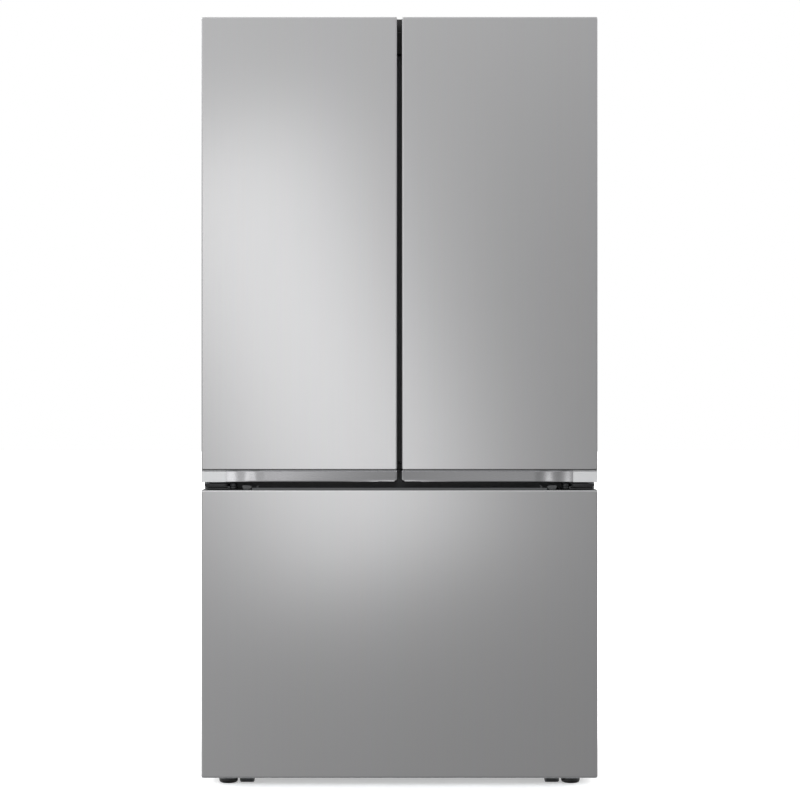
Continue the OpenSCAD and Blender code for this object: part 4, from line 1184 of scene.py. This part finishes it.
def fanRotor(name, node, centre, axis, radius, depth, hub, blades):
    turn = Vector((0, 0, 1)).rotation_difference(Vector(axis)).to_matrix()
    bm = bmesh.new()
    lathe(bm, centre, axis, [(0, 0.0), (hub * 0.80, 0.0), (hub * 0.97, depth * 0.08), (hub, depth * 0.2),
                             (hub, depth * 0.8), (hub * 0.94, depth * 0.93), (hub * 0.7, depth * 0.99),
                             (0, depth)], 40)
    for b in range(blades):
        rings = []
        for i in range(blade["stations"]):
            t = i / (blade["stations"] - 1)
            r = hub * 0.9 + (radius * 0.985 - hub * 0.9) * t
            pitch = math.radians(blade["pitch"][0] - blade["pitch"][1] * t)
            widest = radius * (0.42 + 0.26 * math.sin(math.pi * min(t * 0.9 + 0.1, 1)))
            chord = min(depth * 0.86 / math.sin(pitch), widest)
            start = 2 * math.pi * b / blades + blade["sweep"] * t * t
            ring = []
            for u, v in blade["outline"]:
                along, lift = u * chord, v * blade["thick"] + blade["camber"] * chord * (1 - (2 * u) ** 2)
                a = start + (along * math.cos(pitch) - lift * math.sin(pitch)) / r
                rise = along * math.sin(pitch) + lift * math.cos(pitch)
                point = Vector((r * math.cos(a), r * math.sin(a), depth / 2 + rise))
                ring.append(Vector(centre) + turn @ point)
            rings.append(ring)
        loft(bm, rings)
    place(meshObject(name, bm, 40), node, greyAbs, [node])


fanRotor("evaporator_rotor", "evaporator_fan", (0, 0.222, guard["height"]), (0, 1, 0), 0.052, 0.022, 0.018, 7)
print("freezer made")


# machine compartment
fanRotor("condenser_rotor", "condenser_fan", (0.090, 0.245, 0.165), (1, 0, 0), 0.070, 0.026, 0.022, 5)

# compressor: a drawn steel pot in two halves with a welded seam, on a pressed plate with rubber feet
pot = dict(centre=(0.270, 0.245), radius=0.078, seam=0.145, bottom=0.072, top=0.2368, feet=(0.090, 0.045))
cx, cy = pot["centre"]
r, seam, bottom, top = pot["radius"], pot["seam"], pot["bottom"], pot["top"]
steps = [(0, bottom), (r * 0.45, bottom + 0.001), (r * 0.72, bottom + 0.007), (r * 0.90, bottom + 0.018),
         (r * 0.98, bottom + 0.032), (r, bottom + 0.046), (r, seam - 0.0005), (r + 0.0022, seam),
         (r + 0.0028, seam + 0.0012), (r + 0.0028, seam + 0.0038), (r + 0.0022, seam + 0.005),
         (r - 0.001, seam + 0.0055), (r - 0.001, top - 0.046), (r * 0.965, top - 0.030),
         (r * 0.88, top - 0.016), (r * 0.70, top - 0.006), (r * 0.42, top - 0.001), (0, top)]
bm = bmesh.new()
lathe(bm, (cx, cy, 0), (0, 0, 1), steps, 64)
shell(bm, (cx - 0.105, cx + 0.105, cy - 0.060, cy + 0.060), 0.016,
      [(0.0010, 0.0700), (0, 0.0708), (0, 0.0732), (0.0010, 0.0740)], upright)
shell(bm, (cx - r - 0.020, cx - r + 0.012, cy - 0.020, cy + 0.020), 0.006,
      [(0.0, 0.150), (0, 0.196), (0.003, 0.200)], upright)
place(meshObject("compressor_pot", bm, 35), "root", blackEnamel, ["compressor"])
bm = bmesh.new()
footX, footY = pot["feet"]
for x, y in ((-footX, -footY), (-footX, footY), (footX, -footY), (footX, footY)):
    lathe(bm, (cx + x, cy + y, 0.0622), (0, 0, 1), [(0, 0), (0.012, 0), (0.012, 0.002), (0.0095, 0.0035),
                                                    (0.0095, 0.0055), (0.0115, 0.0070), (0.0115, 0.0130),
                                                    (0.0060, 0.0145), (0, 0.0145)], 24)
place(meshObject("compressor_grommets", bm), "root", gasketPvc)

# condenser: a painted steel tube bent back and forth through its side plates, with thin wires across
lo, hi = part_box("condenser")
coil = dict(tube=0.003, bend=0.0118, hole=0.0034, plates=(-0.150, 0.020), plate=0.0012,
            rows=(0.120, 0.144, 0.168, 0.192, 0.216, 0.240), columns=(0.180, 0.212, 0.244, 0.276, 0.308))
bm = bmesh.new()
for y in coil["columns"]:
    tube(bm, serpentine(lo.x + 0.004, hi.x - 0.004, y, coil["rows"]), coil["tube"], 10, coil["bend"], 5)
for x in coil["plates"]:
    h = coil["hole"]
    holes = [(y - h, y + h, z - h, z + h) for y in coil["columns"] for z in coil["rows"]]
    plateWithHoles(bm, (0.165, 0.325, 0.104, 0.252), x - coil["plate"], x + coil["plate"], holes,
                   lambda u, v, w: (w, u, v))
place(meshObject("condenser_coil", bm), "root", blackEnamel, ["condenser"])
growOn("condenser_wires", bars, {"Count": 26, "Step": (0.006, 0, 0), "Size": (0.0012, 0.0012, 0.128)},
       [(-0.140, y + s * 0.0034, 0.180) for y in coil["columns"] for s in (-1, 1)], "root", blackEnamel)

# drain pan and the copper lines with their drier
bm = bmesh.new()
lo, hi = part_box("drain_pan")
tub(bm, lo.x, hi.x, lo.y, hi.y, lo.z, hi.z, 0.002, 0.020, 0.006, 0.004)
place(meshObject("drain_tray", bm), "root", blackAbs, ["drain_pan"])
# suction line, drier inlet, drier and discharge line
lines = dict(tube=0.003, suctionY=0.180, suctionZ=0.262, drier=(-0.200, 0.300), dischargeZ=0.270)
y, z = lines["suctionY"], lines["suctionZ"]
dx, dy = lines["drier"]
bm = bmesh.new()
tube(bm, [(0.200, y, 0.120), (0.200, y, z), (0.028, y, z), (0.028, y, 0.243)], lines["tube"], 12, 0.012)
tube(bm, [(dx, dy, 0.112), (dx, dy, 0.130)], lines["tube"], 12)
lathe(bm, (dx, dy, 0.128), (0, 0, 1), [(0.0026, 0), (0.0045, 0.008), (0.009, 0.018), (0.009, 0.098),
                                       (0.0045, 0.108), (0.0026, 0.116)], 24)
z = lines["dischargeZ"]
tube(bm, [(dx, dy, 0.240), (dx, dy, z), (0.200, dy, z), (0.200, dy, 0.200)], lines["tube"], 12, 0.014)
place(meshObject("copper_lines", bm), "root", copper, ["refrigerant_lines"])
print("machine compartment made")

# rollers: moulded wheels with a tread, on their axles
for node, places, width in (("front_rollers", (-0.356, 0.356), 0.033),
                            ("rear_rollers", (-0.385, 0.385), 0.024)):
    lo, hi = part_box(node)
    y, z, r, h = (lo.y + hi.y) / 2, (lo.z + hi.z) / 2, (hi.z - lo.z) / 2, width / 2
    half = [(0.0043, h - 0.001), (0.0085, h), (0.0095, h - 0.003), (r - 0.006, h - 0.004),
            (r - 0.0045, h - 0.0005), (r - 0.002, h), (r - 0.0004, h - 0.0016), (r - 0.0002, h - 0.003)]
    outline = [(q, -s) for q, s in half] + half[::-1]
    bm = bmesh.new()
    for x in places:
        rings = [[(x + s, y + q * math.cos(t), z + q * math.sin(t)) for t in turns(48)]
                 for q, s in outline + outline[:1]]
        loft(bm, rings, (False, False))
    place(meshObject(node + "_wheels", bm, 35), node, greyAbs, [node])
    growOn(node + "_treads", wheels,
           {"Count": 30, "Radius": r - 0.0006, "Size": (width - 0.009, 0.0010, 0.0011)},
           [(x, y, z) for x in places], node, blackAbs)

# levelling feet: a black moulded disc, and a zinc plated stud with a hexagon to turn it
foot = dict(hexagon=0.0110, thread=0.0060, core=0.0052, pitch=0.0017, threads=19)
thread = [(0, 0.0)]
for k in range(foot["threads"]):
    h = 0.0008 + k * foot["pitch"]
    thread += [(foot["thread"], h), (foot["core"], h + foot["pitch"] / 2)]
thread += [(foot["thread"], 0.0325), (foot["core"], 0.0330), (0, 0.0330)]
for node, body in (("levelling_leg_left", "left_leg"), ("levelling_leg_right", "right_leg")):
    lo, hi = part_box(node)
    x, y, r, w = (lo.x + hi.x) / 2, (lo.y + hi.y) / 2, (hi.x - lo.x) / 2, foot["hexagon"]
    bm = bmesh.new()
    lathe(bm, (x, y, 0), (0, 0, 1), [(0, 0), (r - 0.0062, 0), (r - 0.0035, 0.0006), (r - 0.0012, 0.0024),
                                     (r - 0.0002, 0.0052), (r, 0.0075), (r, 0.0118), (r - 0.0008, 0.0132),
                                     (r - 0.0024, 0.0139), (0.0100, 0.0140), (0, 0.0140)], 56)
    place(meshObject(node + "_disc", bm, 35), body, blackAbs, [node])
    bm = bmesh.new()
    lathe(bm, (x, y, 0.0138), (0, 0, 1), [(0, 0), (w - 0.0002, 0), (w, 0.0006), (w, 0.0094),
                                          (w - 0.0008, 0.0102), (0, 0.0102)], 6)
    lathe(bm, (x, y, 0.0238), (0, 0, 1), thread, 20)
    place(meshObject(node + "_stud", bm, 30), body, zinc)
print("feet made")


# small parts in the gap between the doors and the drawer
gap = dict(bandsY=-0.3525, plateY=-0.2835, bandEnds=(0.3900, 0.4455), knuckle=(0.3745, 0.3895),
           gripEnd=(0.3385, 0.3615), clip=(0.3205, 0.3290))
blocks = []
for s in (-1, 1):
    x0, x1 = sorted(s * x for x in gap["bandEnds"])
    for z0, z1 in ((0.6900, 0.6917), (0.6938, 0.6952), (0.7032, 0.7045)):
        blocks.append((x0, x1, gap["bandsY"] + 0.001, gap["plateY"], z0, z1))
    x0, x1 = sorted((s * gap["bandEnds"][0], s * 0.3925))
    blocks.append((x0, x1, gap["bandsY"], gap["plateY"], 0.6900, 0.6958))
blockPiece("middle_hinge_bands", blocks, "root", greyAbs, 0.0003, 2)
bm = bmesh.new()
for s in (-1, 1):
    x0, x1 = sorted(s * x for x in gap["knuckle"])
    shell(bm, (x0, x1, -0.3545, -0.3335), 0.006,
          [(0.0010, 0.6900), (0, 0.6908), (0, 0.6945), (0.0012, 0.6950), (0.0012, 0.6962), (0, 0.6967),
           (0, 0.7005), (0.0012, 0.7010), (0.0012, 0.7020), (0.0002, 0.7025), (0.0012, 0.7035)], upright)
    addBlock(bm, x0 + 0.004, x1 - 0.004, -0.336, -0.2800, 0.6920, 0.7000)
place(roundedEdges(meshObject("middle_hinge_stops", bm), 0.0004, 1), "root", hingePaint)

# ends of the drawer's grip: a sloped stop and a small clip on each side
bm = bmesh.new()
for s in (-1, 1):
    x0, x1 = gap["gripEnd"]
    outline = [(x0 + 0.005, 0.6982), (x0 + 0.001, 0.6958), (x0, 0.6938), (x0 + 0.003, 0.6905),
               (x0 + 0.006, 0.6875), (x1 - 0.004, 0.6875), (x1 - 0.002, 0.6925), (x1, 0.6965),
               (x1 - 0.003, 0.6985)]
    loft(bm, [[(s * x, y, z) for x, z in outline] for y in (-0.3580, -0.3480)])
    x0, x1 = gap["clip"]
    outline = [(x0, 0.6985), (x0 + 0.002, 0.6990), (x1, 0.6950), (x0 + 0.002, 0.6875), (x0, 0.6875),
               (x0 + 0.004, 0.6950)]
    loft(bm, [[(s * x, y, z) for x, z in outline] for y in (-0.3556, -0.3520)])
stops = roundedEdges(meshObject("drawer_grip_ends", bm), 0.0007, 2)
place(stops, "freezer_drawer", greyAbs)

# the guide on the case that folds the mullion, and a black plate under its lower end that is painted shade:
# it stands where there is only shade and hides the pale liner flange there
bm = bmesh.new()
# the second range, 0.732 to 0.7475, is the black plate of painted shade under the mullion's lower end
for z0, z1 in ((1.6990, 1.7500), (0.7320, 0.7475)):
    shell(bm, (-0.0085, 0.0085, z0, z1), 0.003, [(0, -0.2792), (0, -0.2885), (0.0012, -0.2897)], facing)
addBlock(bm, -0.0030, 0.0085, -0.2790, -0.2560, 1.6975, 1.7015)
place(roundedEdges(meshObject("mullion_guide_and_shade_plate", bm), 0.0005, 2), "root", blackAbs)
print("small parts made")

print("all pieces made")
